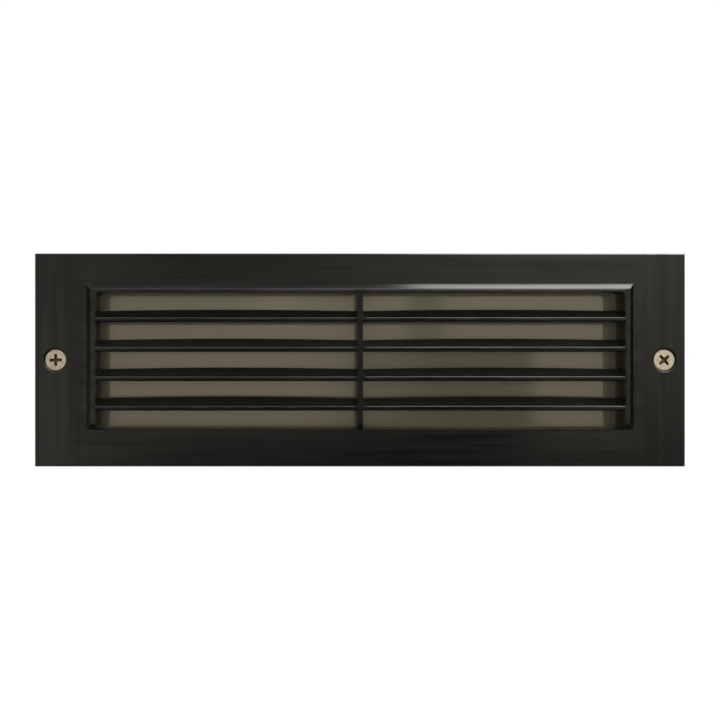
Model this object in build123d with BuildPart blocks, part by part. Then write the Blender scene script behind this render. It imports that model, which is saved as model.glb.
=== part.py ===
from build123d import *
import os
from math import atan2, cos, degrees, radians, sin, sqrt, tan

# A step light for a wall recess, in millimetres: X to the right, Y into the wall, Z up.
# The origin is on the wall's surface, midway between the two face screws.
# A "depth" is a distance behind the wall's surface, so what stands proud has a negative one.

# ---------------------------------------------------------------- driving dimensions
# Face plate and its window
plate_width = 235.0
plate_height = 77.0
plate_thickness = 4.0
plate_edge_break = 0.4
window_side_margin = 22.4  # from each end of the plate
window_top_margin = 14.0
window_bottom_margin = 13.4
window_corner = 1.5
window_relief = 0.6  # the opening behind the mullion is larger than the window by this all round

# Raised louvre frame: it has a top and two sides, and is open below
frame_raise = 2.5
frame_bevel = 2.0
side_rail_face = 1.7
frame_edge_round = 0.3
top_rail_face = 1.1
mullion_width = 1.85
mullion_setback = 0.1
mullion_depth = 7.4

# Louvre blades
blade_pitch = 10.6
blade_nose_height = 2.45  # to the corner where the nose and the underside would meet
blade_first_drop = 9.2  # from the window's top edge to the first nose
blade_rise = 2.5
blade_reach = 5.4  # nose to rear edge, at the ends of a bay
blade_belly = 1.3  # what the rear edge gains at the middle of a bay
blade_rear_thickness = 1.3
blade_nose_radius = 0.4
blade_lower_radius = 0.9  # under the nose
blade_root_radius = 0.9

# Lens, its gasket and its seat
lens_depth = 6.0
lens_thickness = 4.0
lens_overlap = 2.4
lens_corner = 4.0
lens_edge_break = 0.5
gasket_wall = 1.0
gasket_lip_setback = 0.3
collar_wall = 2.4

# Lens clips
clip_thickness = 1.0
clip_width = 8.0
clip_boss_radius = 4.0
clip_inset = 7.8  # from the lens's upper and lower edges
clip_reach = 9.5  # from its screw towards the lens
clip_tab = 3.0
clip_outer_end = 3.6
clip_bend = 0.9
clip_screw_radius = 1.45
clip_screw_length = 8.0
clip_head_radius = 2.8
clip_head_height = 2.0

# Face screws
screw_edge = 7.5  # from each end of the plate
face_screw_radius = 1.95
face_screw_length = 26.0
face_screw_head_radius = 3.8
face_screw_sunk = 0.45
face_screw_cross = 4.4
face_screw_slot = 1.0
face_screw_cross_depth = 1.5
face_screw_cross_taper = 12.0
face_screw_left_turn = 2.0
face_screw_right_turn = 42.0
plate_hole_radius = 2.3
retainer_radius = 3.6
retainer_thickness = 1.2

# Back box
box_rim_depth = 1.5  # the face gasket's thickness
box_depth = 80.5
box_floor = 2.5
box_wall = 2.5
cavity_side_gap = 0.9  # beside the clip bosses
collar_gap = 1.2  # above and below the collar
cavity_corner = 6.0
cavity_draft = 1.6
cavity_floor_round = 2.0
box_back_round = 3.0
rim_setback_x = 2.5  # the plate covers the rim by this much
rim_setback_z = 1.5
rim_corner = 10.6
rim_band = 5.0
key_rib_thickness = 2.5
key_rib_count = 5
key_rib_spacing = 44.0
pillar_radius = 5.5
insert_radius = 2.9
insert_length = 12.0
insert_sunk = 0.2
fixing_inset = 10.4  # from the cavity's walls
fixing_hole_radius = 2.25
fixing_pad_radius = 5.0
fixing_pad_height = 2.0
gasket_hole_radius = 4.0
pillar_hole_spare = 3.0

# Cable entries
entry_radius = 10.0
gland_inset = 20.4  # from the cavity's right end
plug_inset = 18.4  # from its left end
entry_washer_radius = 13.0
entry_washer_thickness = 1.5
locknut_flats = 24.0
locknut_thickness = 5.0
gland_flats = 24.0
gland_flange = 8.0
gland_inner_length = 10.0
gland_collet_radius = 9.5
gland_collet_length = 8.0
gland_bore_radius = 7.0
gland_seal_radius = 7.8
gland_seal_seat = 2.0
gland_seal_length = 12.5
cable_bore_radius = 5.0
gland_nut_flats = 25.0
gland_nut_taper = 8.0
gland_nut_lip = 2.5
gland_nut_mouth_radius = 6.5
plug_head_radius = 12.5
plug_head_height = 3.0
plug_slot_width = 2.5
plug_slot_depth = 1.6
plug_wall = 2.5
plug_inner_length = 8.0

# Lamp and lampholder, on an axis along X
lamp_radius = 22.5
lamp_reach = 28.5  # from the end of its cap to its centre
lamp_gap = 2.5  # between the lamp and the reflector behind it
lamp_glass = 1.0
lamp_neck_radius = 13.0
cap_radius = 13.15
cap_length = 25.0
cap_setback = 1.0  # inside the holder's mouth
cap_wall = 0.6
cap_tip_radius = 4.5
cap_tip_length = 2.5
cap_shoulder = 1.5
holder_inset = 36.0  # from the cavity's left end
holder_length = 44.4
holder_foot_radius = 19.0
holder_foot_length = 14.4
holder_mouth_radius = 18.0
holder_waist_radius = 16.8
holder_step = 3.0
shell_wall = 0.55
shell_length = 26.0
shell_setback = 1.5
contact_width = 6.0
contact_thickness = 0.5
contact_height = 1.6
contact_length = 11.0
contact_foot = 0.8
holder_screw_spacing = 22.0
holder_screw_radius = 1.5
holder_screw_length = 8.0
bracket_thickness = 1.6
bracket_width = 28.0
bracket_foot = 20.0
bracket_reach = 18.0  # from the lamp's axis to its front edge
bracket_bend = 2.4
bracket_corner = 6.0
bracket_screw_spacing = 9.0
bracket_screw_setback = 5.4
small_screw_radius = 1.95
small_head_radius = 3.3
small_head_height = 2.4
boss_radius = 4.5
outer_boss_height = 3.5

# Reflector tray
reflector_foot_gap = 2.0  # from the holder's foot
reflector_block_gap = 6.0  # from the terminal block
reflector_cover_gap = 6.0  # behind the cover's collar
reflector_wall_gap = 3.4  # its front half height is this much less than the cavity's
reflector_back_half = 22.0
reflector_sheet = 0.8
reflector_lip = 1.8
reflector_screw_inset = 12.0  # from the reflector's ends
reflector_screw_spacing_z = 33.0
column_radius = 3.4
column_height = 7.2
column_screw_radius = 1.45
column_screw_length = 6.0
column_head_radius = 2.7
column_head_height = 1.8

# Terminal block and earth screw
block_inset = 46.4  # from the cavity's right end
block_width = 16.0
block_height = 14.0
block_pitch = 12.0
block_end = 7.0
block_round = 1.2
tube_radius = 2.7
tube_bore_radius = 1.5
tube_length = 14.0
lead_height = 3.6  # the leads' axes stand this far off the box's floor
clamp_screw_radius = 1.3
clamp_screw_length = 4.5
clamp_screw_spacing = 7.0
clamp_well_radius = 1.9
clamp_head_height = 1.2
block_screw_sunk = 6.0
lead_radius = 1.1
lead_bend = 5.0
lead_in_foot = 8.4  # from the holder's foot to a lead's hole
lead_in_holder = 3.0
lead_in_block = 5.0
earth_inset = 34.9  # from the cavity's right end
earth_rise = 8.4  # from the cavity's lower wall
earth_boss_height = 6.0
earth_screw_length = 7.0
earth_washer_radius = 4.2
earth_washer_thickness = 1.0

# Small fasteners
screw_head_bevel = 0.7
screw_tip_chamfer = 0.4
hole_spare = 1.0  # what a blind hole has beyond its screw's tip

# Named clearances
turning_clearance = 0.05  # radial, of a screw or a nut that turns
press_clearance = 0.02  # radial, of an insert or a tube held in its hole
thread_clearance = 0.1  # radial, of a part passed through a hole
resting_gap = 0.3  # between bodies that face each other

# ---------------------------------------------------------------- derived places
front_depth = -plate_thickness
raised_depth = front_depth - frame_raise
window_width = plate_width - 2 * window_side_margin
window_height = plate_height - window_top_margin - window_bottom_margin
window_drop = (window_top_margin - window_bottom_margin) / 2  # its centre is this far below the plate's
window_top = window_height / 2 - window_drop
window_bottom = window_top - window_height
blade_count = int((window_height - blade_first_drop - blade_nose_height) / blade_pitch) + 1
bay_width = (window_width - mullion_width) / 2
seat_depth = lens_depth - gasket_wall
seat_width = window_width + 2 * window_relief
seat_height = window_height + 2 * window_relief
seat_corner = window_corner + window_relief
lens_width = seat_width + 2 * lens_overlap
lens_height = seat_height + 2 * lens_overlap
gasket_width = lens_width + 2 * gasket_wall
gasket_height = lens_height + 2 * gasket_wall
gasket_corner = lens_corner + gasket_wall
collar_width = gasket_width + 2 * collar_wall
collar_height = gasket_height + 2 * collar_wall
collar_depth = lens_depth + lens_thickness + gasket_wall
clip_x = collar_width / 2 + clip_boss_radius
clip_spacing = lens_height - 2 * clip_inset
screw_x = plate_width / 2 - screw_edge
floor_depth = box_depth - box_floor
cavity_end = clip_x + clip_boss_radius + cavity_side_gap
cavity_width = 2 * cavity_end
cavity_height = collar_height + 2 * collar_gap
rim_width = plate_width - 2 * rim_setback_x
rim_height = plate_height - 2 * rim_setback_z
fixing_spacing_x = cavity_width - 2 * fixing_inset
fixing_spacing_z = cavity_height - 2 * fixing_inset
gland_x = cavity_end - gland_inset
plug_x = plug_inset - cavity_end
face_screw_top = front_depth + face_screw_sunk - 2 * turning_clearance
face_screw_tip = face_screw_top + face_screw_length
washer_depth = box_depth + entry_washer_thickness
reflector_depth = floor_depth - column_height - reflector_sheet
reflector_front_depth = collar_depth + reflector_cover_gap
reflector_front_half = cavity_height / 2 - reflector_wall_gap
lamp_depth = reflector_depth - lamp_gap - lamp_radius
holder_foot_x = holder_inset - cavity_end
holder_mouth_x = holder_foot_x + holder_length
cap_end_x = holder_mouth_x - cap_setback
lamp_centre_x = cap_end_x + lamp_reach
cap_start_x = cap_end_x - cap_length
holder_floor_x = cap_start_x - cap_tip_length - resting_gap - contact_height
shell_radius = cap_radius + turning_clearance + shell_wall
lead_start_depth = lamp_depth + sqrt(holder_foot_radius**2 - (block_pitch / 2) ** 2) - lead_in_holder
lead_depth = floor_depth - lead_height
lead_z = block_pitch / 2
lead_holder_x = holder_foot_x + lead_in_foot
block_x = cavity_end - block_inset
reflector_left_x = holder_foot_x + holder_foot_length + reflector_foot_gap
reflector_right_x = block_x - block_width / 2 - reflector_block_gap
reflector_screw_x = (reflector_left_x + reflector_right_x) / 2
reflector_screw_spacing_x = reflector_right_x - reflector_left_x - 2 * reflector_screw_inset
earth_x = cavity_end - earth_inset
earth_z = earth_rise - cavity_height / 2
hexagon_corner = 1 / cos(radians(30))  # a hexagon's corner stands out by this share of its flat's distance
sides = (-1, 1)


def facing(depth, x=0.0, z=0.0):
    """The plane across the light at a depth, looked at from the front."""
    return Plane(origin=(x, depth, z), x_dir=(1, 0, 0), z_dir=(0, -1, 0))


def rear_facing(depth, x=0.0, z=0.0):
    """The plane across the light at a depth, looked at from behind."""
    return Plane(origin=(x, depth, z), x_dir=(1, 0, 0), z_dir=(0, 1, 0))


def rounded_face(width, height, corner, depth, x=0.0, z=0.0):
    """A rounded rectangle across the light."""
    with BuildSketch(facing(depth, x, z)) as outline:
        RectangleRounded(width, height, corner)
    return outline.sketch


def pan_screw(plane, shank_radius, length, head_radius, head_height):
    """A pan head screw: its head's underside lies on the plane, and its shank runs behind it."""
    axis = Axis(plane.origin, plane.z_dir)
    with BuildPart() as body:
        with BuildSketch(plane):
            Circle(head_radius)
        extrude(amount=head_height)
        chamfer(body.edges().group_by(axis)[-1], screw_head_bevel)
        with BuildSketch(plane):
            Circle(shank_radius)
        extrude(amount=-length)
        chamfer(body.edges().group_by(axis)[0], screw_tip_chamfer)
    return body.part


def save(piece, name):
    """Label a finished piece and write it to its own file."""
    piece.label = name
    export_step(piece, os.path.join("parts", name + ".step"))


os.makedirs("parts", exist_ok=True)

# ---------------------------------------------------------------- cover
# The face casting: plate, raised frame, mullion, blades and the collar that holds the lens.
frame_half = window_width / 2 + side_rail_face + frame_bevel
frame_top = window_top + top_rail_face + frame_bevel
bay_centre = (bay_width + mullion_width) / 2
mullion_rear = raised_depth + mullion_setback + mullion_depth
blade_slope = atan2(blade_rise, blade_reach)
blade_length = blade_reach + blade_belly
root_arc_middle = 1 - cos(radians(45))


def louvre_blade(bay_x, nose_top):
    """A blade across one bay: it slopes up and back from its nose, and its rear edge bellies out."""
    rear_top = nose_top + blade_length * tan(blade_slope)
    bay_left = bay_x - bay_width / 2
    bay_right = bay_x + bay_width / 2
    with BuildPart() as blade:
        with BuildSketch(Plane.YZ.offset(bay_x)):
            with BuildLine():
                Polyline(
                    (raised_depth, nose_top - blade_nose_height),
                    (raised_depth, nose_top),
                    (raised_depth + blade_length, rear_top),
                    (raised_depth + blade_length, rear_top - blade_rear_thickness),
                    close=True,
                )
            make_face()
            fillet(vertices().group_by(Axis.X)[0].sort_by(Axis.Y)[-1], blade_nose_radius)
            lower_corner = (raised_depth, nose_top - blade_nose_height)
            fillet(vertices().sort_by_distance(lower_corner)[0], blade_lower_radius)
        extrude(amount=bay_width / 2, both=True)
        # A cast root radius along each end, above the slope
        for end_x, inward in ((bay_left, blade_root_radius), (bay_right, -blade_root_radius)):
            slope = Plane((end_x, raised_depth, nose_top), (1, 0, 0), (0, cos(blade_slope), sin(blade_slope)))
            with BuildSketch(slope):
                with BuildLine():
                    Polyline((0, -blade_root_radius), (0, 0), (inward, 0))
                    ThreePointArc(
                        (inward, 0),
                        (inward * root_arc_middle, -blade_root_radius * root_arc_middle),
                        (0, -blade_root_radius),
                    )
                make_face()
            extrude(amount=blade_length)
        with BuildSketch(Plane.XY.offset(nose_top)):
            with BuildLine():
                Polyline(
                    (bay_right, raised_depth + blade_reach),
                    (bay_right, raised_depth),
                    (bay_left, raised_depth),
                    (bay_left, raised_depth + blade_reach),
                )
                ThreePointArc(
                    (bay_left, raised_depth + blade_reach),
                    (bay_x, raised_depth + blade_length),
                    (bay_right, raised_depth + blade_reach),
                )
            make_face()
        extrude(amount=blade_pitch, both=True, mode=Mode.INTERSECT)
    return blade.part


with BuildPart() as face_casting:
    with BuildSketch(facing(0)):
        Rectangle(plate_width, plate_height)
    extrude(amount=plate_thickness)
    chamfer(face_casting.faces().sort_by(Axis.Y)[0].edges(), plate_edge_break)
    # The raised block, with a bevel all round
    with BuildSketch(facing(front_depth, 0, (frame_top + window_bottom) / 2)):
        Rectangle(2 * frame_half, frame_top - window_bottom)
    extrude(amount=frame_raise, taper=degrees(atan2(frame_bevel, frame_raise)))
    bevel_faces = face_casting.faces().filter_by(lambda face: front_depth > face.center().Y > raised_depth)
    fillet([edge for edge in bevel_faces.edges() if edge.center().Y < front_depth], frame_edge_round)
    # The collar behind the plate, with two clip bosses at each end
    with BuildSketch(facing(collar_depth, 0, -window_drop)):
        RectangleRounded(collar_width, collar_height, gasket_corner + collar_wall)
        with GridLocations(2 * clip_x, clip_spacing, 2, 2):
            Circle(clip_boss_radius)
        with GridLocations(2 * clip_x - 2 * clip_boss_radius, clip_spacing, 2, 2):
            Rectangle(2 * clip_boss_radius, 2 * clip_boss_radius)
    extrude(amount=collar_depth)
    # The lens's pocket, and the window through the casting behind the mullion
    with BuildSketch(facing(collar_depth, 0, -window_drop)):
        RectangleRounded(gasket_width, gasket_height, gasket_corner)
    extrude(amount=collar_depth - seat_depth, mode=Mode.SUBTRACT)
    with BuildSketch(facing(seat_depth, 0, -window_drop)):
        RectangleRounded(seat_width, seat_height, seat_corner)
    extrude(amount=seat_depth - mullion_rear, mode=Mode.SUBTRACT)
    # One bay of the window on each side of the mullion, whose face lies just behind the noses
    with BuildSketch(facing(mullion_rear, 0, -window_drop)):
        RectangleRounded(window_width, window_height, window_corner)
        Rectangle(mullion_width, window_height, mode=Mode.SUBTRACT)
    extrude(amount=mullion_rear - raised_depth, mode=Mode.SUBTRACT)
    with BuildSketch(facing(raised_depth + mullion_setback, 0, -window_drop)):
        Rectangle(mullion_width, window_height)
    extrude(amount=mullion_setback, mode=Mode.SUBTRACT)
    for row in range(blade_count):
        for side in sides:
            add(louvre_blade(side * bay_centre, window_top - blade_first_drop - row * blade_pitch))
    for side in sides:
        with Locations(facing(front_depth, side * screw_x)):
            CounterSinkHole(
                plate_hole_radius,
                face_screw_head_radius + face_screw_sunk,
                plate_thickness,
                counter_sink_angle=90,
            )
    # Blind holes for the clip screws
    with BuildSketch(facing(collar_depth, 0, -window_drop)):
        with GridLocations(2 * clip_x, clip_spacing, 2, 2):
            Circle(clip_screw_radius + turning_clearance)
    extrude(amount=clip_screw_length, mode=Mode.SUBTRACT)
save(face_casting.part, "face_casting")

# The lens, and the gasket that wraps its edge
with BuildPart() as lens_glass:
    with BuildSketch(facing(lens_depth + lens_thickness, 0, -window_drop)):
        RectangleRounded(lens_width, lens_height, lens_corner)
    extrude(amount=lens_thickness)
    chamfer(lens_glass.faces().filter_by(Axis.Y).edges(), lens_edge_break)
save(lens_glass.part, "lens_glass")

with BuildPart() as lens_gasket:
    with BuildSketch(facing(collar_depth, 0, -window_drop)):
        RectangleRounded(gasket_width, gasket_height, gasket_corner)
        RectangleRounded(
            seat_width + 2 * gasket_lip_setback,
            seat_height + 2 * gasket_lip_setback,
            seat_corner + gasket_lip_setback,
            mode=Mode.SUBTRACT,
        )
    extrude(amount=collar_depth - seat_depth)
    with BuildSketch(facing(lens_depth + lens_thickness, 0, -window_drop)):
        RectangleRounded(lens_width, lens_height, lens_corner)
    extrude(amount=lens_thickness, mode=Mode.SUBTRACT)
save(lens_gasket.part, "lens_gasket")

# Sheet clips that press the gasket's rear lip, each with an upturned tab and its screw
clip_back = collar_depth + clip_thickness
with BuildPart() as lens_clips:
    for side in sides:
        for level in sides:
            clip_z = level * clip_spacing / 2 - window_drop
            tip_x = side * (clip_x - clip_reach)
            with BuildSketch(facing(clip_back, side * clip_x, clip_z)):
                with Locations((side * (clip_outer_end - clip_reach) / 2, 0)):
                    Rectangle(clip_outer_end + clip_reach, clip_width)
                Circle(clip_screw_radius + thread_clearance, mode=Mode.SUBTRACT)
            extrude(amount=clip_thickness)
            with BuildSketch(facing(collar_depth + clip_tab, tip_x, clip_z)):
                with Locations((side * clip_thickness / 2, 0)):
                    Rectangle(clip_thickness, clip_width)
            extrude(amount=clip_tab)
    # The tab is folded up with a round outer bend
    front_edges = lens_clips.edges().filter_by(Axis.Z).group_by(Axis.Y)[0]
    fold_line = clip_x - clip_reach + clip_thickness
    fillet(front_edges.filter_by(lambda edge: abs(edge.center().X) < fold_line), clip_bend)
save(lens_clips.part, "lens_clips")

clip_screws = Part() + [
    pan_screw(
        rear_facing(clip_back, side * clip_x, level * clip_spacing / 2 - window_drop),
        clip_screw_radius,
        clip_screw_length,
        clip_head_radius,
        clip_head_height,
    )
    for side in sides
    for level in sides
]
save(clip_screws, "lens_clip_screws")

# ---------------------------------------------------------------- face screws
for name, side, turn in (
    ("left", -1, face_screw_left_turn),
    ("right", 1, face_screw_right_turn),
):
    centre_x = side * screw_x
    with BuildPart() as face_screw:
        with BuildSketch(Plane.XY):
            with BuildLine():
                Polyline(
                    (centre_x, face_screw_top),
                    (centre_x + face_screw_head_radius, face_screw_top),
                    (
                        centre_x + face_screw_radius,
                        face_screw_top + face_screw_head_radius - face_screw_radius,
                    ),
                    (centre_x + face_screw_radius, face_screw_tip - screw_tip_chamfer),
                    (centre_x + face_screw_radius - screw_tip_chamfer, face_screw_tip),
                    (centre_x, face_screw_tip),
                    close=True,
                )
            make_face()
        revolve(axis=Axis((centre_x, 0, 0), (0, 1, 0)))
        # The cross recess narrows towards its floor
        with BuildSketch(facing(face_screw_top, centre_x)):
            Rectangle(face_screw_cross, face_screw_slot, rotation=turn)
            Rectangle(face_screw_slot, face_screw_cross, rotation=turn)
        extrude(amount=-face_screw_cross_depth, taper=face_screw_cross_taper, mode=Mode.SUBTRACT)
    save(face_screw.part, "face_screw_" + name)

    # A ring on the shank, inside the face gasket's hole, keeps the screw in the cover
    retainer_depth = (box_rim_depth + retainer_thickness) / 2
    with BuildPart() as retainer:
        with BuildSketch(facing(retainer_depth, centre_x)):
            Circle(retainer_radius)
            Circle(face_screw_radius + press_clearance, mode=Mode.SUBTRACT)
        extrude(amount=retainer_thickness)
    save(retainer.part, "screw_retainer_" + name)

# ---------------------------------------------------------------- back box


def cavity_shape(depth, wall=0.0):
    """The cavity's outline at a depth, grown by a wall all round."""
    shrink = 2 * (depth - box_rim_depth) * tan(radians(cavity_draft))
    return rounded_face(
        cavity_width - shrink + 2 * wall,
        cavity_height - shrink + 2 * wall,
        cavity_corner + wall,
        depth,
    )


def outer_half_height(depth):
    """Half the body's outer height at a depth."""
    return cavity_height / 2 - (depth - box_rim_depth) * tan(radians(cavity_draft)) + box_wall


bracket_screw_xs = [
    holder_foot_x + bracket_screw_setback,
    holder_foot_x + bracket_screw_setback + bracket_screw_spacing,
]
column_spots = GridLocations(reflector_screw_spacing_x, reflector_screw_spacing_z, 2, 2)
earth_boss_depth = floor_depth - earth_boss_height

with BuildPart() as cavity:
    loft([cavity_shape(box_rim_depth), cavity_shape(floor_depth)], ruled=True)
    fillet(cavity.faces().sort_by(Axis.Y)[-1].edges(), cavity_floor_round)

with BuildPart() as box_outside:
    loft([cavity_shape(box_rim_depth, box_wall), cavity_shape(box_depth, box_wall)], ruled=True)
    fillet(box_outside.faces().sort_by(Axis.Y)[-1].edges(), box_back_round)

with BuildPart() as back_box:
    add(box_outside.part)
    # The thick rim that the gasket lies on
    with BuildSketch(facing(box_rim_depth + rim_band)):
        RectangleRounded(rim_width, rim_height, rim_corner)
    extrude(amount=rim_band)
    # Ribs above and below that key the box into its wall
    rib_height = rim_height / 2 - outer_half_height(box_rim_depth)
    for index in range(key_rib_count):
        rib_x = (index - (key_rib_count - 1) / 2) * key_rib_spacing
        with BuildSketch(Plane.YZ.offset(rib_x)):
            with BuildLine():
                Polyline(
                    (box_rim_depth, outer_half_height(box_rim_depth) + rib_height),
                    (box_depth, outer_half_height(box_depth) + rib_height),
                    (box_depth, -outer_half_height(box_depth) - rib_height),
                    (box_rim_depth, -outer_half_height(box_rim_depth) - rib_height),
                    close=True,
                )
            make_face()
        extrude(amount=key_rib_thickness / 2, both=True)
    add(cavity.part, mode=Mode.SUBTRACT)
    # A pillar for each face screw, from the rim to the floor
    with BuildSketch(facing(box_depth)) as pillars:
        with Locations((-screw_x, 0), (screw_x, 0)):
            Circle(pillar_radius)
        Rectangle(rim_width, rim_height, mode=Mode.INTERSECT)
    extrude(amount=box_depth - box_rim_depth)
    # Columns that carry the reflector, the earth boss and the pads round the fixing holes
    with BuildSketch(facing(floor_depth, reflector_screw_x)):
        with column_spots:
            Circle(column_radius)
    extrude(amount=floor_depth - reflector_depth - reflector_sheet)
    with BuildSketch(facing(floor_depth, earth_x, earth_z)):
        Circle(boss_radius)
    extrude(amount=earth_boss_height)
    with BuildSketch(facing(floor_depth)):
        with GridLocations(fixing_spacing_x, fixing_spacing_z, 2, 2):
            Circle(fixing_pad_radius)
    extrude(amount=fixing_pad_height)
    # Outer bosses: an oblong one behind the bracket's two screws, a round one behind the block's
    with BuildSketch(facing(box_depth + outer_boss_height)):
        with Locations((sum(bracket_screw_xs) / 2, 0)):
            SlotCenterToCenter(bracket_screw_spacing, 2 * boss_radius)
        with Locations((block_x, 0)):
            Circle(boss_radius)
    extrude(amount=outer_boss_height)

    # Holes: inserts, face screws, columns, earth, fixings, entries, bracket and block
    with BuildSketch(facing(face_screw_tip + pillar_hole_spare)):
        with Locations((-screw_x, 0), (screw_x, 0)):
            Circle(plate_hole_radius)
    extrude(amount=face_screw_tip + pillar_hole_spare - box_rim_depth, mode=Mode.SUBTRACT)
    with BuildSketch(facing(box_rim_depth + insert_sunk + insert_length)):
        with Locations((-screw_x, 0), (screw_x, 0)):
            Circle(insert_radius + press_clearance)
    extrude(amount=insert_sunk + insert_length, mode=Mode.SUBTRACT)
    column_hole = column_screw_length - reflector_sheet + hole_spare
    with BuildSketch(facing(reflector_depth + reflector_sheet + column_hole, reflector_screw_x)):
        with column_spots:
            Circle(column_screw_radius + press_clearance)
    extrude(amount=column_hole, mode=Mode.SUBTRACT)
    earth_hole = earth_screw_length - earth_washer_thickness + hole_spare
    with BuildSketch(facing(earth_boss_depth + earth_hole, earth_x, earth_z)):
        Circle(small_screw_radius + press_clearance)
    extrude(amount=earth_hole, mode=Mode.SUBTRACT)
    with BuildSketch(facing(box_depth)):
        with GridLocations(fixing_spacing_x, fixing_spacing_z, 2, 2):
            Circle(fixing_hole_radius)
        with Locations((gland_x, 0), (plug_x, 0)):
            Circle(entry_radius + thread_clearance)
    extrude(amount=box_floor + fixing_pad_height, mode=Mode.SUBTRACT)
    boss_hole = box_floor + outer_boss_height - hole_spare
    with BuildSketch(facing(floor_depth + boss_hole)):
        with Locations(*[(x, 0) for x in bracket_screw_xs]):
            Circle(small_screw_radius + press_clearance)
        with Locations((block_x, 0)):
            Circle(column_screw_radius + press_clearance)
    extrude(amount=boss_hole, mode=Mode.SUBTRACT)
save(back_box.part, "back_box")

with BuildPart() as face_gasket:
    with BuildSketch(facing(box_rim_depth)):
        RectangleRounded(rim_width, rim_height, rim_corner)
        RectangleRounded(cavity_width, cavity_height, cavity_corner, mode=Mode.SUBTRACT)
        with Locations((-screw_x, 0), (screw_x, 0)):
            Circle(pillar_radius)
            Circle(gasket_hole_radius, mode=Mode.SUBTRACT)
        Rectangle(rim_width, rim_height, mode=Mode.INTERSECT)
    extrude(amount=box_rim_depth)
save(face_gasket.part, "face_gasket")

with BuildPart() as screw_inserts:
    with BuildSketch(facing(box_rim_depth + insert_sunk + insert_length)):
        with Locations((-screw_x, 0), (screw_x, 0)):
            Circle(insert_radius)
            Circle(face_screw_radius + turning_clearance, mode=Mode.SUBTRACT)
    extrude(amount=insert_length)
save(screw_inserts.part, "screw_inserts")

# ---------------------------------------------------------------- cable entries
with BuildPart() as entry_washers:
    with BuildSketch(facing(washer_depth)):
        with Locations((gland_x, 0), (plug_x, 0)):
            Circle(entry_washer_radius)
            Circle(entry_radius + thread_clearance, mode=Mode.SUBTRACT)
    extrude(amount=entry_washer_thickness)
save(entry_washers.part, "entry_washers")

with BuildPart() as entry_locknuts:
    with BuildSketch(facing(floor_depth)):
        with Locations((gland_x, 0), (plug_x, 0)):
            RegularPolygon(locknut_flats / 2, 6, major_radius=False, rotation=30)
            Circle(entry_radius + press_clearance, mode=Mode.SUBTRACT)
    extrude(amount=locknut_thickness)
save(entry_locknuts.part, "entry_locknuts")

flange_depth = washer_depth + gland_flange
collet_depth = flange_depth + gland_collet_length
seal_start_depth = collet_depth - gland_collet_length - gland_seal_seat
with BuildPart() as gland_body:
    with BuildSketch(facing(flange_depth, gland_x)):
        RegularPolygon(gland_flats / 2, 6, major_radius=False)
    extrude(amount=gland_flange)
    with BuildSketch(facing(flange_depth, gland_x)):
        Circle(entry_radius)
    extrude(amount=flange_depth - floor_depth + gland_inner_length)
    with BuildSketch(facing(collet_depth, gland_x)):
        Circle(gland_collet_radius)
    extrude(amount=gland_collet_length)
    with BuildSketch(facing(seal_start_depth, gland_x)):
        Circle(gland_bore_radius)
    extrude(amount=seal_start_depth - floor_depth + gland_inner_length, mode=Mode.SUBTRACT)
    with BuildSketch(facing(collet_depth, gland_x)):
        Circle(gland_seal_radius + press_clearance)
    extrude(amount=collet_depth - seal_start_depth, mode=Mode.SUBTRACT)
save(gland_body.part, "gland_body")

seal_end_depth = seal_start_depth + gland_seal_length
with BuildPart() as gland_seal:
    with BuildSketch(facing(seal_end_depth, gland_x)):
        Circle(gland_seal_radius)
        Circle(cable_bore_radius, mode=Mode.SUBTRACT)
    extrude(amount=gland_seal_length)
save(gland_seal.part, "gland_seal")

nut_start_depth = flange_depth + resting_gap
nut_lip_depth = seal_end_depth + resting_gap
nut_end_depth = nut_lip_depth + gland_nut_lip
with BuildPart() as gland_nut:
    with BuildSketch(facing(nut_end_depth, gland_x)):
        RegularPolygon(gland_nut_flats / 2, 6, major_radius=False)
    extrude(amount=nut_end_depth - nut_start_depth)
    # The nut's outer end is turned to a cone that takes its corners off
    with BuildSketch(facing(nut_start_depth, gland_x)):
        Circle(gland_nut_flats / 2 * hexagon_corner)
    extrude(amount=nut_start_depth - nut_end_depth, taper=gland_nut_taper, mode=Mode.INTERSECT)
    with BuildSketch(facing(nut_lip_depth, gland_x)):
        Circle(gland_collet_radius + turning_clearance)
    extrude(amount=nut_lip_depth - nut_start_depth, mode=Mode.SUBTRACT)
    with BuildSketch(facing(nut_end_depth, gland_x)):
        Circle(gland_nut_mouth_radius)
    extrude(amount=gland_nut_lip, mode=Mode.SUBTRACT)
save(gland_nut.part, "gland_nut")

plug_head_depth = washer_depth + plug_head_height
with BuildPart() as blanking_plug:
    with BuildSketch(facing(plug_head_depth, plug_x)):
        Circle(plug_head_radius)
    extrude(amount=plug_head_height)
    with BuildSketch(facing(washer_depth, plug_x)):
        Circle(entry_radius)
    extrude(amount=washer_depth - floor_depth + plug_inner_length)
    with BuildSketch(facing(washer_depth, plug_x)):
        Circle(entry_radius - plug_wall)
    extrude(amount=washer_depth - floor_depth + plug_inner_length, mode=Mode.SUBTRACT)
    with BuildSketch(facing(plug_head_depth, plug_x)):
        Rectangle(2 * plug_head_radius, plug_slot_width)
    extrude(amount=plug_slot_depth, mode=Mode.SUBTRACT)
save(blanking_plug.part, "blanking_plug")

# ---------------------------------------------------------------- lampholder and lamp
bracket_back_x = holder_foot_x - bracket_thickness
lamp_plane = Plane(origin=(0, lamp_depth, 0), x_dir=(1, 0, 0), z_dir=(0, 0, 1))
lamp_axis = Axis((0, lamp_depth, 0), (1, 0, 0))

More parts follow.
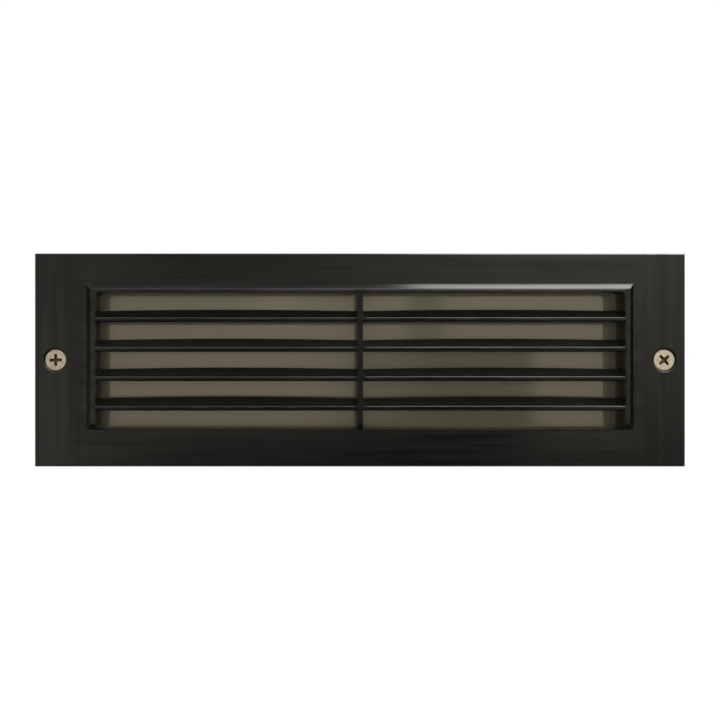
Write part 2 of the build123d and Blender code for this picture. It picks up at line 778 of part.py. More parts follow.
with BuildPart() as lampholder_bracket:
    with BuildSketch(Plane.XY):
        with BuildLine():
            Polyline(
                (bracket_back_x, lamp_depth - bracket_reach),
                (bracket_back_x, floor_depth),
                (bracket_back_x + bracket_foot, floor_depth),
                (bracket_back_x + bracket_foot, floor_depth - bracket_thickness),
                (holder_foot_x, floor_depth - bracket_thickness),
                (holder_foot_x, lamp_depth - bracket_reach),
                close=True,
            )
        make_face()
        fillet(vertices().sort_by_distance((bracket_back_x, floor_depth))[0], bracket_bend)
        inner_bend = vertices().sort_by_distance((holder_foot_x, floor_depth - bracket_thickness))[0]
        fillet(inner_bend, bracket_bend - bracket_thickness)
    extrude(amount=bracket_width / 2, both=True)
    fillet(lampholder_bracket.edges().filter_by(Axis.X).group_by(Axis.Y)[0], bracket_corner)
    with BuildSketch(facing(floor_depth)):
        with Locations(*[(x, 0) for x in bracket_screw_xs]):
            Circle(small_screw_radius + thread_clearance)
    extrude(amount=bracket_thickness, mode=Mode.SUBTRACT)
    with BuildSketch(Plane.YZ.offset(bracket_back_x)):
        with Locations((lamp_depth, -holder_screw_spacing / 2), (lamp_depth, holder_screw_spacing / 2)):
            Circle(holder_screw_radius + thread_clearance)
    extrude(amount=bracket_thickness, mode=Mode.SUBTRACT)
save(lampholder_bracket.part, "lampholder_bracket")

bracket_screws = Part() + [
    pan_screw(
        facing(floor_depth - bracket_thickness, x),
        small_screw_radius,
        bracket_thickness + box_floor + outer_boss_height - 2 * hole_spare,
        small_head_radius,
        small_head_height,
    )
    for x in bracket_screw_xs
]
save(bracket_screws, "bracket_screws")

holder_bore = shell_radius + press_clearance
waist_start_x = holder_foot_x + holder_foot_length
with BuildPart() as lampholder_body:
    with BuildSketch(lamp_plane):
        with BuildLine():
            Polyline(
                (holder_foot_x, 0),
                (holder_foot_x, holder_foot_radius),
                (waist_start_x, holder_foot_radius),
                (waist_start_x + holder_step, holder_waist_radius),
                (holder_mouth_x - 2 * holder_step, holder_waist_radius),
                (holder_mouth_x - holder_step, holder_mouth_radius),
                (holder_mouth_x, holder_mouth_radius),
                (holder_mouth_x, holder_bore),
                (holder_floor_x, holder_bore),
                (holder_floor_x, 0),
                close=True,
            )
        make_face()
    revolve(axis=lamp_axis)
    # Wire holes in the foot, and blind holes for the two screws through the bracket
    with BuildSketch(rear_facing(lead_start_depth, lead_holder_x)):
        with Locations((0, -lead_z), (0, lead_z)):
            Circle(lead_radius + thread_clearance)
    extrude(amount=holder_foot_radius, mode=Mode.SUBTRACT)
    with BuildSketch(Plane.YZ.offset(holder_foot_x)):
        with Locations((lamp_depth, -holder_screw_spacing / 2), (lamp_depth, holder_screw_spacing / 2)):
            Circle(holder_screw_radius + press_clearance)
    extrude(amount=holder_screw_length + hole_spare - bracket_thickness, mode=Mode.SUBTRACT)
save(lampholder_body.part, "lampholder_body")

lampholder_screws = Part() + [
    pan_screw(
        Plane(origin=(bracket_back_x, lamp_depth, side * holder_screw_spacing / 2), z_dir=(-1, 0, 0)),
        holder_screw_radius,
        holder_screw_length,
        column_head_radius,
        column_head_height,
    )
    for side in sides
]
save(lampholder_screws, "lampholder_screws")

shell_start_x = holder_mouth_x - shell_setback - shell_length
with BuildPart() as lampholder_shell:
    with BuildSketch(Plane.YZ.offset(shell_start_x)):
        with Locations((lamp_depth, 0)):
            Circle(shell_radius)
            Circle(shell_radius - shell_wall, mode=Mode.SUBTRACT)
    extrude(amount=shell_length)
save(lampholder_shell.part, "lampholder_shell")

# The centre contact is a bowed strip on the floor of the holder's bore
contact_rise = contact_height - contact_thickness
with BuildPart() as lampholder_contact:
    with BuildSketch(lamp_plane):
        with BuildLine():
            ThreePointArc(
                (holder_floor_x, -contact_length / 2),
                (holder_floor_x + contact_height, 0),
                (holder_floor_x, contact_length / 2),
            )
            Line(
                (holder_floor_x, contact_length / 2),
                (holder_floor_x, contact_length / 2 - contact_foot),
            )
            ThreePointArc(
                (holder_floor_x, contact_length / 2 - contact_foot),
                (holder_floor_x + contact_rise, 0),
                (holder_floor_x, contact_foot - contact_length / 2),
            )
            Line(
                (holder_floor_x, contact_foot - contact_length / 2),
                (holder_floor_x, -contact_length / 2),
            )
        make_face()
    extrude(amount=contact_width / 2, both=True)
save(lampholder_contact.part, "lampholder_contact")

with BuildPart() as lamp_cap:
    with BuildSketch(lamp_plane):
        with BuildLine():
            Polyline(
                (cap_start_x - cap_tip_length, 0),
                (cap_start_x - cap_tip_length, cap_tip_radius),
                (cap_start_x, cap_radius - cap_shoulder),
                (cap_start_x + cap_shoulder, cap_radius),
                (cap_end_x, cap_radius),
                (cap_end_x, cap_radius - cap_wall),
                (cap_start_x + cap_shoulder, cap_radius - cap_wall),
                (cap_start_x + cap_shoulder, 0),
                close=True,
            )
        make_face()
    revolve(axis=lamp_axis)
save(lamp_cap.part, "lamp_cap")


def bulb_arcs(inset):
    """The bulb's half outline, inset from its surface: a hollow neck that flows into a ball."""
    ball = lamp_radius - inset
    neck = lamp_neck_radius - inset
    run = lamp_centre_x - cap_end_x
    neck_arc = (run**2 + neck**2 - ball**2) / (2 * (ball - neck))
    share = ball / (ball + neck_arc)
    meeting = (lamp_centre_x - run * share, (neck + neck_arc) * share)
    hollow = TangentArc((cap_end_x, neck), meeting, tangent=(1, 0))
    TangentArc(hollow @ 1, (lamp_centre_x + ball, 0), tangent=hollow % 1)


with BuildPart() as lamp_envelope:
    with BuildSketch(lamp_plane):
        with BuildLine():
            bulb_arcs(0)
            Line((lamp_centre_x + lamp_radius, 0), (lamp_centre_x + lamp_radius - lamp_glass, 0))
            bulb_arcs(lamp_glass)
            Line((cap_end_x, lamp_neck_radius - lamp_glass), (cap_end_x, lamp_neck_radius))
        make_face()
    revolve(axis=lamp_axis)
save(lamp_envelope.part, "lamp_envelope")

# ---------------------------------------------------------------- reflector
trough = [
    (reflector_front_depth, reflector_front_half + reflector_lip),
    (reflector_front_depth, reflector_front_half),
    (reflector_depth, reflector_back_half),
    (reflector_depth, -reflector_back_half),
    (reflector_front_depth, -reflector_front_half),
    (reflector_front_depth, -reflector_front_half - reflector_lip),
]
with BuildPart() as reflector:
    with BuildSketch(Plane.YZ.offset(reflector_left_x)):
        with BuildLine():
            Polyline(*trough)
            offset(amount=reflector_sheet, side=Side.LEFT)
        make_face()
    extrude(amount=reflector_right_x - reflector_left_x)
    # The closed end beside the terminal block
    with BuildSketch(Plane.YZ.offset(reflector_right_x - reflector_sheet)):
        with BuildLine():
            Polyline(*trough[1:-1], close=True)
        make_face()
    extrude(amount=reflector_sheet)
    with BuildSketch(facing(reflector_depth + reflector_sheet, reflector_screw_x)):
        with column_spots:
            Circle(column_screw_radius + thread_clearance)
    extrude(amount=reflector_sheet, mode=Mode.SUBTRACT)
save(reflector.part, "reflector")

reflector_screws = Part() + [
    pan_screw(
        facing(reflector_depth, reflector_screw_x + spot.position.X, spot.position.Y),
        column_screw_radius,
        column_screw_length,
        column_head_radius,
        column_head_height,
    )
    for spot in column_spots.locations
]
save(reflector_screws, "reflector_screws")

# ---------------------------------------------------------------- terminal block and leads
block_front = floor_depth - block_height
block_length = block_pitch + 2 * block_end
clamp_spots = [(x * clamp_screw_spacing / 2, z * lead_z) for x in sides for z in sides]
with BuildPart() as terminal_block:
    with BuildSketch(facing(floor_depth, block_x)):
        Rectangle(block_width, block_length)
    extrude(amount=block_height)
    fillet(terminal_block.faces().sort_by(Axis.Y)[0].edges(), block_round)
    with BuildSketch(Plane.YZ.offset(block_x)):
        with Locations((lead_depth, -lead_z), (lead_depth, lead_z)):
            Circle(tube_radius + press_clearance)
    extrude(amount=block_width / 2, both=True, mode=Mode.SUBTRACT)
    with BuildSketch(facing(lead_depth, block_x)):
        with Locations(*clamp_spots):
            Circle(clamp_well_radius)
    extrude(amount=lead_depth - block_front, mode=Mode.SUBTRACT)
    with Locations(facing(block_front, block_x)):
        CounterBoreHole(
            column_screw_radius + thread_clearance,
            column_head_radius + thread_clearance,
            block_screw_sunk,
            block_height,
        )
save(terminal_block.part, "terminal_block")

with BuildPart() as terminal_tubes:
    with BuildSketch(Plane.YZ.offset(block_x - tube_length / 2)):
        with Locations((lead_depth, -lead_z), (lead_depth, lead_z)):
            Circle(tube_radius)
            Circle(tube_bore_radius, mode=Mode.SUBTRACT)
    extrude(amount=tube_length)
    with BuildSketch(facing(lead_depth, block_x)):
        with Locations(*clamp_spots):
            Circle(clamp_screw_radius + press_clearance)
    extrude(amount=tube_radius, mode=Mode.SUBTRACT)
save(terminal_tubes.part, "terminal_tubes")

clamp_tip_depth = lead_depth - lead_radius - thread_clearance
terminal_screws = Part() + [
    pan_screw(
        facing(clamp_tip_depth - clamp_screw_length, block_x + x, z),
        clamp_screw_radius,
        clamp_screw_length,
        clamp_well_radius - thread_clearance,
        clamp_head_height,
    )
    for x, z in clamp_spots
]
save(terminal_screws, "terminal_screws")

block_screw = pan_screw(
    facing(block_front + block_screw_sunk, block_x),
    column_screw_radius,
    block_height - block_screw_sunk + boss_hole - hole_spare,
    column_head_radius,
    column_head_height,
)
save(block_screw, "terminal_block_screw")

lead_end_x = block_x - block_width / 2 + lead_in_block
for name, lead_level in (("live_lead", lead_z), ("neutral_lead", -lead_z)):
    with BuildPart() as lead:
        with BuildLine() as route:
            FilletPolyline(
                (lead_holder_x, lead_start_depth, lead_level),
                (lead_holder_x, lead_depth, lead_level),
                (lead_end_x, lead_depth, lead_level),
                radius=lead_bend,
            )
        with BuildSketch(Plane(origin=route.line @ 0, z_dir=route.line % 0)):
            Circle(lead_radius)
        sweep()
    save(lead.part, name)

# ---------------------------------------------------------------- earth terminal
with BuildPart() as earth_washer:
    with BuildSketch(facing(earth_boss_depth, earth_x, earth_z)):
        Circle(earth_washer_radius)
        Circle(small_screw_radius + thread_clearance, mode=Mode.SUBTRACT)
    extrude(amount=earth_washer_thickness)
save(earth_washer.part, "earth_washer")

earth_screw = pan_screw(
    facing(earth_boss_depth - earth_washer_thickness, earth_x, earth_z),
    small_screw_radius,
    earth_screw_length,
    small_head_radius,
    small_head_height,
)
save(earth_screw, "earth_screw")
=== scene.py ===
"""Looks of a recessed step light: a louvred black face with a frosted lens, on its cast back box."""
import logging
from collections.abc import Sequence
from dataclasses import dataclass, replace
from enum import Enum
from math import cos, pi, radians, sin

import bmesh
import bpy
from mathutils import Matrix, Vector


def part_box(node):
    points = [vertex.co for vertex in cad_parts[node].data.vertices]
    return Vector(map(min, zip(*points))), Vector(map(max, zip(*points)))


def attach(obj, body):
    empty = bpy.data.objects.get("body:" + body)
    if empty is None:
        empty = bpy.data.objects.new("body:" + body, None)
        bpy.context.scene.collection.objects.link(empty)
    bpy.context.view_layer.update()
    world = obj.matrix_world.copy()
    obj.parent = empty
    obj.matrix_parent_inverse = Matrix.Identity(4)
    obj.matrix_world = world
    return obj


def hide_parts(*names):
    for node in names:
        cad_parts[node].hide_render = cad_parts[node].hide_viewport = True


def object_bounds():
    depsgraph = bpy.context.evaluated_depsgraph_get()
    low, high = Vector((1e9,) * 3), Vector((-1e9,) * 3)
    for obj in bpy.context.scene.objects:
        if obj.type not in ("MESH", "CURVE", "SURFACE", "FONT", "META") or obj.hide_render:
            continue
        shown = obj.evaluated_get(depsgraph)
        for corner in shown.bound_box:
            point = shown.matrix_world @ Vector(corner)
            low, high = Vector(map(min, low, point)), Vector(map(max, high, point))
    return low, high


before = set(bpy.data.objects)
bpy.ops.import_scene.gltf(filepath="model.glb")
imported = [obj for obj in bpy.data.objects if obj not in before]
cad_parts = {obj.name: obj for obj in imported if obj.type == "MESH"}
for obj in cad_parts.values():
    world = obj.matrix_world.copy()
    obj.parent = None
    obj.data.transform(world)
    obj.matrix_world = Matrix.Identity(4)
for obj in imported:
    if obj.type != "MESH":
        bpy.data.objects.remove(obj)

CAD_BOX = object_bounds()
NODES: dict[str, bpy.types.Object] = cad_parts
MM = 0.001
MERGE = 1e-7  # corners nearer than this, in metres, are one
FORWARD, REARWARD = Vector((0, -1, 0)), Vector((0, 1, 0))
LEFTWARD, RIGHTWARD = Vector((-1, 0, 0)), Vector((1, 0, 0))
WHITE = (1, 1, 1, 1)
Tree, Socket = bpy.types.NodeTree, bpy.types.NodeSocket
log = logging.getLogger("step_light")


# ---------------------------------------------------------------- colours and nodes
def linear(code: str) -> tuple[float, float, float, float]:
    """Turn an sRGB hex colour into a linear one.

    Args:
        code: Six hex digits after a hash.

    Returns:
        Red, green, blue and a full alpha.
    """
    levels = [int(code[i:i + 2], 16) / 255 for i in (1, 3, 5)]
    toned = [v / 12.92 if v <= 0.04045 else ((v + 0.055) / 1.055) ** 2.4 for v in levels]
    return (*toned, 1.0)


def add_node(tree: Tree, kind: str, inputs: dict, output: str = "", **settings) -> Socket | None:
    """Add a node with its settings, values and links.

    Args:
        tree: The node tree that takes it.
        kind: Blender's name of the node's type, without its first word.
        inputs: A value or an output socket for each input, by its name or number. From and To take a pair.
        output: The output that is wanted, if it isn't the first in use.
        **settings: The node's own properties.

    Returns:
        The output, or None for a node that has none.
    """
    node = tree.nodes.new("ShaderNode" + kind)
    for name, value in settings.items():
        setattr(node, name, value)
    for name, value in inputs.items():
        if isinstance(value, Socket):
            tree.links.new(value, node.inputs[name])
        elif name in ("From", "To"):
            node.inputs[f"{name} Min"].default_value, node.inputs[f"{name} Max"].default_value = value
        else:
            node.inputs[name].default_value = value
    in_use = [socket for socket in node.outputs if socket.enabled and output in ("", socket.name)]
    return in_use[0] if in_use else None


def emptied(holder: bpy.types.Material | bpy.types.World) -> Tree:
    """Give a material or world a node tree with nothing in it.

    Args:
        holder: The material or world.

    Returns:
        Its tree.
    """
    holder.use_nodes = True
    holder.node_tree.nodes.clear()
    return holder.node_tree


def soft_region(tree: Tree, *edges: tuple, unit: float = 1.0) -> Socket:
    """Mark out a region whose edges are soft.

    Args:
        tree: The node tree that takes it.
        *edges: For each edge the value that it reads, where the region begins and where it is full.
        unit: What the edges' numbers are given in.

    Returns:
        1 where all the edges are full, down to 0 where one hasn't begun.
    """
    inside = 1.0
    for value, begins, full in edges:
        edge = add_node(tree, "MapRange", {"Value": value, "From": (begins * unit, full * unit)},
                        interpolation_type="SMOOTHSTEP")
        inside = add_node(tree, "Math", {0: edge, 1: inside}, operation="MULTIPLY")
    return inside


def layered(tree: Tree, base: Socket | float | tuple, *layers: tuple) -> Socket:
    """Lay several values or colours over one another.

    Args:
        tree: The node tree that takes them.
        base: The lowest value or colour.
        *layers: For each layer how much it covers, and its value or colour.

    Returns:
        What shows on top.
    """
    kind = "RGBA" if isinstance(layers[0][1], tuple) else "FLOAT"
    for share, layer in layers:
        base = add_node(tree, "Mix", {"Factor": share, "A": base, "B": layer}, data_type=kind)
    return base


# ---------------------------------------------------------------- finishes
class Pattern(Enum):
    """How a surface was made, and so what its fine relief looks like."""

    DRAWN = "drawn or rolled along X"
    TURNED = "turned"
    BLASTED = "shot blasted"
    MOULDED = "moulded"
    CELLULAR = "cellular"
    GLAZED = "glazed"


DRAWN_STRETCH = (0.02, 1.0, 1.0)  # a drawn line is fifty times as long as it is wide
CELLS = (Pattern.CELLULAR, Pattern.BLASTED)  # these are pits, and the others are waves


@dataclass(frozen=True)
class Finish:
    """One real material and how its surface was made."""

    name: str
    colour: str
    second_colour: str  # where the fine pattern and the mottle both stand high
    roughness: float
    pattern: Pattern
    grain_mm: float
    relief_mm: float
    mottle_mm: float = 12.0
    roughness_spread: float = 0.08
    metallic: float = 0.0
    ior: float = 1.5
    coat: float = 0.0
    coat_roughness: float = 0.1
    subsurface_mm: float = 0.0
    mottle_reach: tuple = (0.3, 0.7)  # the part of the noise that is spread over all the mottle

    def surface(self, tree: Tree, place: Socket) -> dict:
        """Work out the surface from its pattern.

        Args:
            tree: The material's tree.
            place: The Object coordinates.

        Returns:
            The shader's inputs, whose colour, roughness and relief follow the pattern.
        """
        scale = 1 / (self.grain_mm * MM)
        if self.pattern in CELLS:
            grain = add_node(tree, "TexVoronoi", {"Vector": place, "Scale": scale})
        else:
            stretch = DRAWN_STRETCH if self.pattern is Pattern.DRAWN else (1.0, 1.0, 1.0)
            drawn = add_node(tree, "Mapping", {"Vector": place, "Scale": stretch})
            grain = add_node(tree, "TexNoise", {
                "Vector": drawn, "Scale": scale, "Detail": 4.0, "Roughness": 0.55,
            })
        mottle = add_node(tree, "TexNoise", {
            "Vector": place, "Scale": 1 / (self.mottle_mm * MM), "Detail": 3.0, "Roughness": 0.6,
        })
        tone = add_node(tree, "MapRange", {"Value": mottle, "From": self.mottle_reach})
        both = add_node(tree, "Math", {0: tone, 1: grain}, operation="MULTIPLY")
        colours = {"Factor": both, "A": linear(self.colour), "B": linear(self.second_colour)}
        spread = (self.roughness - self.roughness_spread, self.roughness + self.roughness_spread)
        return {
            "Base Color": add_node(tree, "Mix", colours, data_type="RGBA"),
            "Roughness": add_node(tree, "MapRange", {"Value": grain, "To": spread}),
            "Normal": add_node(tree, "Bump", {
                "Height": grain, "Strength": 1.0, "Distance": self.relief_mm * MM,
            }),
            "Metallic": self.metallic, "IOR": self.ior,
            "Coat Weight": self.coat, "Coat Roughness": self.coat_roughness,
            "Subsurface Weight": 1.0 if self.subsurface_mm else 0.0,
            "Subsurface Scale": self.subsurface_mm * MM, "Subsurface Radius": (1.0, 1.0, 1.0),
        }


# Brass thread-cut inserts and tubes: warm yellow, with a lathe tool's fine marks
TURNED_BRASS = Finish("turned_brass", "#D9B65E", "#A9833A", 0.28, Pattern.TURNED, 0.4, 0.01, metallic=1.0)
# Nickel over turned brass: a warm bright grey that mirrors its surroundings softly
NICKELLED_BRASS = Finish("nickel_plated_turned_brass", "#ABA596", "#8A8475", 0.3, Pattern.TURNED, 0.5, 0.008,
                         metallic=1.0)
# Zinc plate with a yellow passivation: cream to straw coloured, dull, slightly speckled
YELLOW_ZINC = Finish("yellow_zinc_plated_steel", "#BBB098", "#918360", 0.42, Pattern.BLASTED, 0.7, 0.01,
                     mottle_mm=1.6, metallic=1.0)
# The same plate down in a screw's recess, painted dark brown: painted shade of the recess
RECESS_PAINTED_SHADE = Finish("yellow_zinc_with_painted_recess_shade", "#57462A", "#33281A", 0.6, Pattern.CELLULAR, 0.3, 0.02,
                     metallic=0.3)
# Clear zinc on the inner steel pieces: cool light grey with a faint crystalline mottle
BRIGHT_ZINC = Finish("bright_zinc_plated_steel", "#C9CACA", "#9A9C9E", 0.34, Pattern.MOULDED, 0.8, 0.008,
                     mottle_mm=4.0, metallic=1.0)
# The same in a screw's recess, painted darker: painted shade of the recess
SHADED_ZINC = Finish("zinc_plated_steel_with_painted_recess_shade", "#8B8B88", "#5D5D5B", 0.45, Pattern.MOULDED, 0.5, 0.01,
                     mottle_mm=2.0, metallic=1.0)
# Cold rolled spring strip: bright with fine lines along its length
ROLLED_SPRING_STEEL = Finish("rolled_spring_steel", "#C6C7C6", "#8E9092", 0.25, Pattern.DRAWN, 0.3, 0.01,
                             metallic=1.0)
# Aluminium pressure die casting, shot blasted: an even pale grey oxide skin with a fine grain, hardly glossy
BLASTED_CASTING = Finish("shot_blasted_aluminium_casting", "#A4A5A3", "#7E7F7E", 0.6, Pattern.BLASTED, 0.9,
                         0.06, mottle_mm=25.0, metallic=0.2, roughness_spread=0.12)
# Rolled bright aluminium sheet: nearly a mirror, with faint rolling lines along the trough
BRIGHT_SHEET = Finish("rolled_bright_aluminium_sheet", "#DADCDD", "#BFC2C4", 0.16, Pattern.DRAWN, 0.5, 0.01,
                      metallic=1.0, roughness_spread=0.05)
# Glazed steatite: warm white under a clear gloss, slightly wavy
GLAZED_STEATITE = Finish("glazed_steatite", "#E9E3D3", "#D6CDB8", 0.12, Pattern.GLAZED, 4.0, 0.03,
                         ior=1.55, roughness_spread=0.03, coat=0.6, coat_roughness=0.06)
# Opal glass: milky white that glows through its wall, with a smooth gloss
OPAL_GLASS = Finish("opal_glass", "#F2EFE6", "#E8E4D8", 0.1, Pattern.GLAZED, 8.0, 0.005,
                    ior=1.5, roughness_spread=0.02, subsurface_mm=2.0)
# Silicone rubber: matt black with a faint moulded texture
SILICONE_RUBBER = Finish("moulded_silicone_rubber", "#1D1D1C", "#2A2A28", 0.7, Pattern.MOULDED, 0.8, 0.02)
# Closed cell foam: charcoal, with the small open cells of its cut edge
CLOSED_CELL_FOAM = Finish("cut_closed_cell_foam", "#2B2B2A", "#191918", 0.9, Pattern.CELLULAR, 0.8, 0.12,
                          roughness_spread=0.04)
# Fibre-filled nylon: satin grey from a spark-eroded mould
MOULDED_GREY_NYLON = Finish("moulded_grey_nylon", "#5B5C5E", "#4B4C4F", 0.5, Pattern.MOULDED, 0.35, 0.02)
# Natural nylon: milky and slightly waxy
NATURAL_NYLON = Finish("moulded_natural_nylon", "#E4DFCF", "#D5CFBC", 0.4, Pattern.MOULDED, 0.5, 0.01,
                       subsurface_mm=1.0)
# White polyamide of the terminal block: clean satin white
WHITE_POLYAMIDE = Finish("moulded_white_polyamide", "#E3E3DE", "#D2D2CC", 0.38, Pattern.MOULDED, 0.4, 0.015)
# Extruded sleeves of the two leads: smooth, with long faint die lines
BROWN_SLEEVE = Finish("extruded_brown_sleeve", "#6A3D20", "#54301A", 0.36, Pattern.DRAWN, 0.4, 0.01)
BLUE_SLEEVE = Finish("extruded_blue_sleeve", "#2A5FA3", "#224E88", 0.36, Pattern.DRAWN, 0.4, 0.01)
# Black glass of the lamp cap's insulator: a hard dark gloss
VITRITE = Finish("pressed_black_glass", "#15131A", "#221F26", 0.08, Pattern.GLAZED, 3.0, 0.02,
                 roughness_spread=0.02)
# Soft solder on the cap's tip: pale grey and lumpy
SOFT_SOLDER = Finish("soft_solder", "#B9BABB", "#8D8F92", 0.32, Pattern.MOULDED, 1.2, 0.08, metallic=1.0)


@dataclass(frozen=True)
class BrushedBlackLacquer:
    """Black lacquer over a brushed die casting: a warm satin black whose grain runs along each side.

    The lacquer pooled on the raised frame and blades, which mirror in slow waves. Deep in the window the
    spray hardly reached, so the coat is thin and dull there, and the blades' upward slopes are paler.
    """

    name: str = "black_lacquer_on_brushed_casting"
    colour: str = "#030302"
    worn_colour: str = "#0C0B09"
    # a paler tone on the upward slopes deep in the window
    dull_colour: str = "#0A0A09"
    pale_slope_colour: str = "#191815"
    lint_colour: str = "#8E8D86"
    ior: float = 1.42
    warm_gloss: tuple = (1.0, 0.97, 0.87, 1.0)  # the lacquer's slight brown cast in what it mirrors
    gloss_levels: tuple = (0.43, 0.59)  # between the streaks and on them
    dull_gloss: float = 0.25
    flat_roughness: tuple = (0.30, 0.12)  # between the brush lines and on them
    louvre_roughness: float = 0.14
    dull_roughness: float = 0.35
    grain_mm: float = 1.1  # real brushing is finer: drawn as coarse as it needs to show
    streak_mm: float = 3.2
    grain_length: float = 25.0  # how many times as long as wide a brush line is
    streak_share: float = 0.7  # of the roughness: the rest follows the grain
    streak_reach: tuple = (0.38, 0.62)  # the part of the noise that is spread over the streaks' tones
    brush_reach: tuple = (0.35, 0.65)
    grain_relief_mm: float = 0.006
    pool_mm: float = 7.0  # how long the waves of pooled lacquer on the louvres are
    pool_stretch: tuple = (0.35, 1.0, 1.0)
    pool_relief_mm: float = 0.3
    lint_mm: float = 14.0  # how far apart specks of settled lint may lie
    lint_radius_mm: float = 0.28
    lint_share: float = 0.07
    band_edge_mm: tuple = (96.5, 106.5)  # here the grain turns from lengthwise to crosswise
    raised_mm: tuple = (-4.02, -4.12)  # in depth: what stands before the plate
    window_half_mm: tuple = ((95.5, 95.3), (25.5, 25.3))  # off the middle along X, and along Z
    thin_depth_mm: tuple = (-5.7, -5.3)  # from here inwards the coat is thin
    mullion_half_mm: tuple = (2.3, 2.2)
    mullion_thinness: float = 0.95
    slope_reach: tuple = (0.5, 0.9)  # how far up a face looks that takes a little of the paler tone, and all of it
    screw_off_mm: float = 110.0  # how far the screws stand from the plate's middle
    seat_radius_mm: tuple = (4.35, 4.25)  # a countersink's dark seat lies inside this
    seat_depth_mm: tuple = (-4.0, -3.95)
    sink_rim_mm: tuple = (4.3, 4.55)  # its rim is rolled between these
    rim_roll: float = 0.22
    bevel_start_mm: tuple = (96.9, 25.5)  # where the frame's bevel begins, off the middle along X and Z
    bevel_reach_mm: float = 2.5
    bevel_roll: float = 0.2  # the bevel is rolled over: its paint faces further forward than the flat facet

    def surface(self, tree: Tree, place: Socket) -> dict:
        """Work out the coat, which differs from place to place.

        Args:
            tree: The material's tree.
            place: The Object coordinates.

        Returns:
            The shader's inputs: crosswise grain at the plate's ends and lengthwise grain between them, a
            glossier, pooled coat on the louvres, and a thin dull coat deep inside them.
        """
        site = self.sites(tree, place)
        thin = site["thin"]
        at_ends = soft_region(tree, (site["off_x"], *self.band_edge_mm), unit=MM)
        short = 1 / self.grain_length
        grain, streak = (
            add_node(tree, "Mix", {
                "Factor": at_ends, "A": self.noise(tree, place, size, (short, 1.0, 1.0)),
                "B": self.noise(tree, place, size, (1.0, 1.0, short)),
            }, data_type="FLOAT")
            for size in (self.grain_mm, self.streak_mm)
        )
        tone = add_node(tree, "MapRange", {"Value": streak, "From": self.streak_reach})
        both = add_node(tree, "Mix", {
            "Factor": self.streak_share, "A": grain, "B": streak,
        }, data_type="FLOAT")
        brushed = add_node(tree, "MapRange", {
            "Value": both, "From": self.brush_reach, "To": self.flat_roughness,
        })
        return {
            "Base Color": layered(
                tree, linear(self.colour), (tone, linear(self.worn_colour)), (thin, linear(self.dull_colour)),
                (site["pale_slopes"], linear(self.pale_slope_colour)), (self.lint(tree, place), linear(self.lint_colour)),
            ),
            "Roughness": layered(tree, brushed, (site["raised"], self.louvre_roughness),
                                 (thin, self.dull_roughness)),
            "Normal": self.relief(tree, place, site, grain), "IOR": self.ior,
            "Specular IOR Level": layered(tree, self.gloss_levels[0], (tone, self.gloss_levels[1]),
                                          (thin, self.dull_gloss)),
            "Specular Tint": self.warm_gloss,
        }

    def sites(self, tree: Tree, place: Socket) -> dict[str, Socket]:
        """Tell the casting's parts from each other by where they lie.

        Args:
            tree: The material's tree.
            place: The Object coordinates.

        Returns:
            The distances off the middle and from the nearer screw, and how much a point belongs to the
            raised parts, to those in the window, to the thin coat and to the paler upward slopes.
        """
        depth = add_node(tree, "SeparateXYZ", {0: place}, "Y")
        off_x, off_z = (
            add_node(tree, "Math", {0: add_node(tree, "SeparateXYZ", {0: place}, axis)}, operation="ABSOLUTE")
            for axis in "XZ"
        )
        aside = add_node(tree, "Math", {0: off_x, 1: self.screw_off_mm * MM}, operation="SUBTRACT")
        from_screw = add_node(tree, "VectorMath", {0: add_node(tree, "CombineXYZ", {0: aside, 1: off_z})},
                              "Value", operation="LENGTH")
        before_plate = (depth, *self.raised_mm)
        window = [(off, *half) for off, half in zip((off_x, off_z), self.window_half_mm)]
        deep = soft_region(tree, *window, (depth, *self.thin_depth_mm), unit=MM)
        mullion = soft_region(tree, before_plate, *window, (off_x, *self.mullion_half_mm), unit=MM)
        seat = soft_region(tree, (from_screw, *self.seat_radius_mm), (depth, *self.seat_depth_mm), unit=MM)
        half_thin = add_node(tree, "Math", {0: mullion, 1: self.mullion_thinness}, operation="MULTIPLY")
        thin = deep
        for other in (half_thin, seat):
            thin = add_node(tree, "Math", {0: thin, 1: other}, operation="MAXIMUM")
        upright = add_node(tree, "SeparateXYZ", {0: add_node(tree, "NewGeometry", {}, "Normal")}, "Z")
        slope = add_node(tree, "MapRange", {"Value": upright, "From": self.slope_reach})
        return {
            "off_x": off_x, "off_z": off_z, "from_screw": from_screw, "thin": thin,
            "raised": soft_region(tree, before_plate, unit=MM),
            "in_window": soft_region(tree, before_plate, *window, unit=MM),
            "pale_slopes": add_node(tree, "Math", {0: deep, 1: slope}, operation="MULTIPLY"),
        }

    @staticmethod
    def noise(tree: Tree, place: Socket, size_mm: float, stretch: tuple[float, float, float]) -> Socket:
        """Add a noise that is drawn out along one axis.

        Args:
            tree: The material's tree.
            place: The Object coordinates.
            size_mm: The noise's size across the grain.
            stretch: Its share of that scale along each axis.

        Returns:
            The noise's value.
        """
        drawn = add_node(tree, "Mapping", {"Vector": place, "Scale": stretch})
        return add_node(tree, "TexNoise", {
            "Vector": drawn, "Scale": 1 / (size_mm * MM), "Detail": 3.0, "Roughness": 0.55,
        })

    def lint(self, tree: Tree, place: Socket) -> Socket:
        """Add a few pale specks of lint.

        Args:
            tree: The material's tree.
            place: The Object coordinates.

        Returns:
            1 on a speck and 0 elsewhere.
        """
        cells = {"Vector": place, "Scale": 1 / (self.lint_mm * MM)}
        off_speck = add_node(tree, "TexVoronoi", cells, "Distance")
        draw = add_node(tree, "SeparateXYZ", {0: add_node(tree, "TexVoronoi", cells, "Color")}, "X")
        near, chosen = (
            add_node(tree, "Math", {0: value, 1: limit}, operation="LESS_THAN")
            for value, limit in ((off_speck, self.lint_radius_mm / self.lint_mm), (draw, self.lint_share))
        )
        return add_node(tree, "Math", {0: near, 1: chosen}, operation="MULTIPLY")

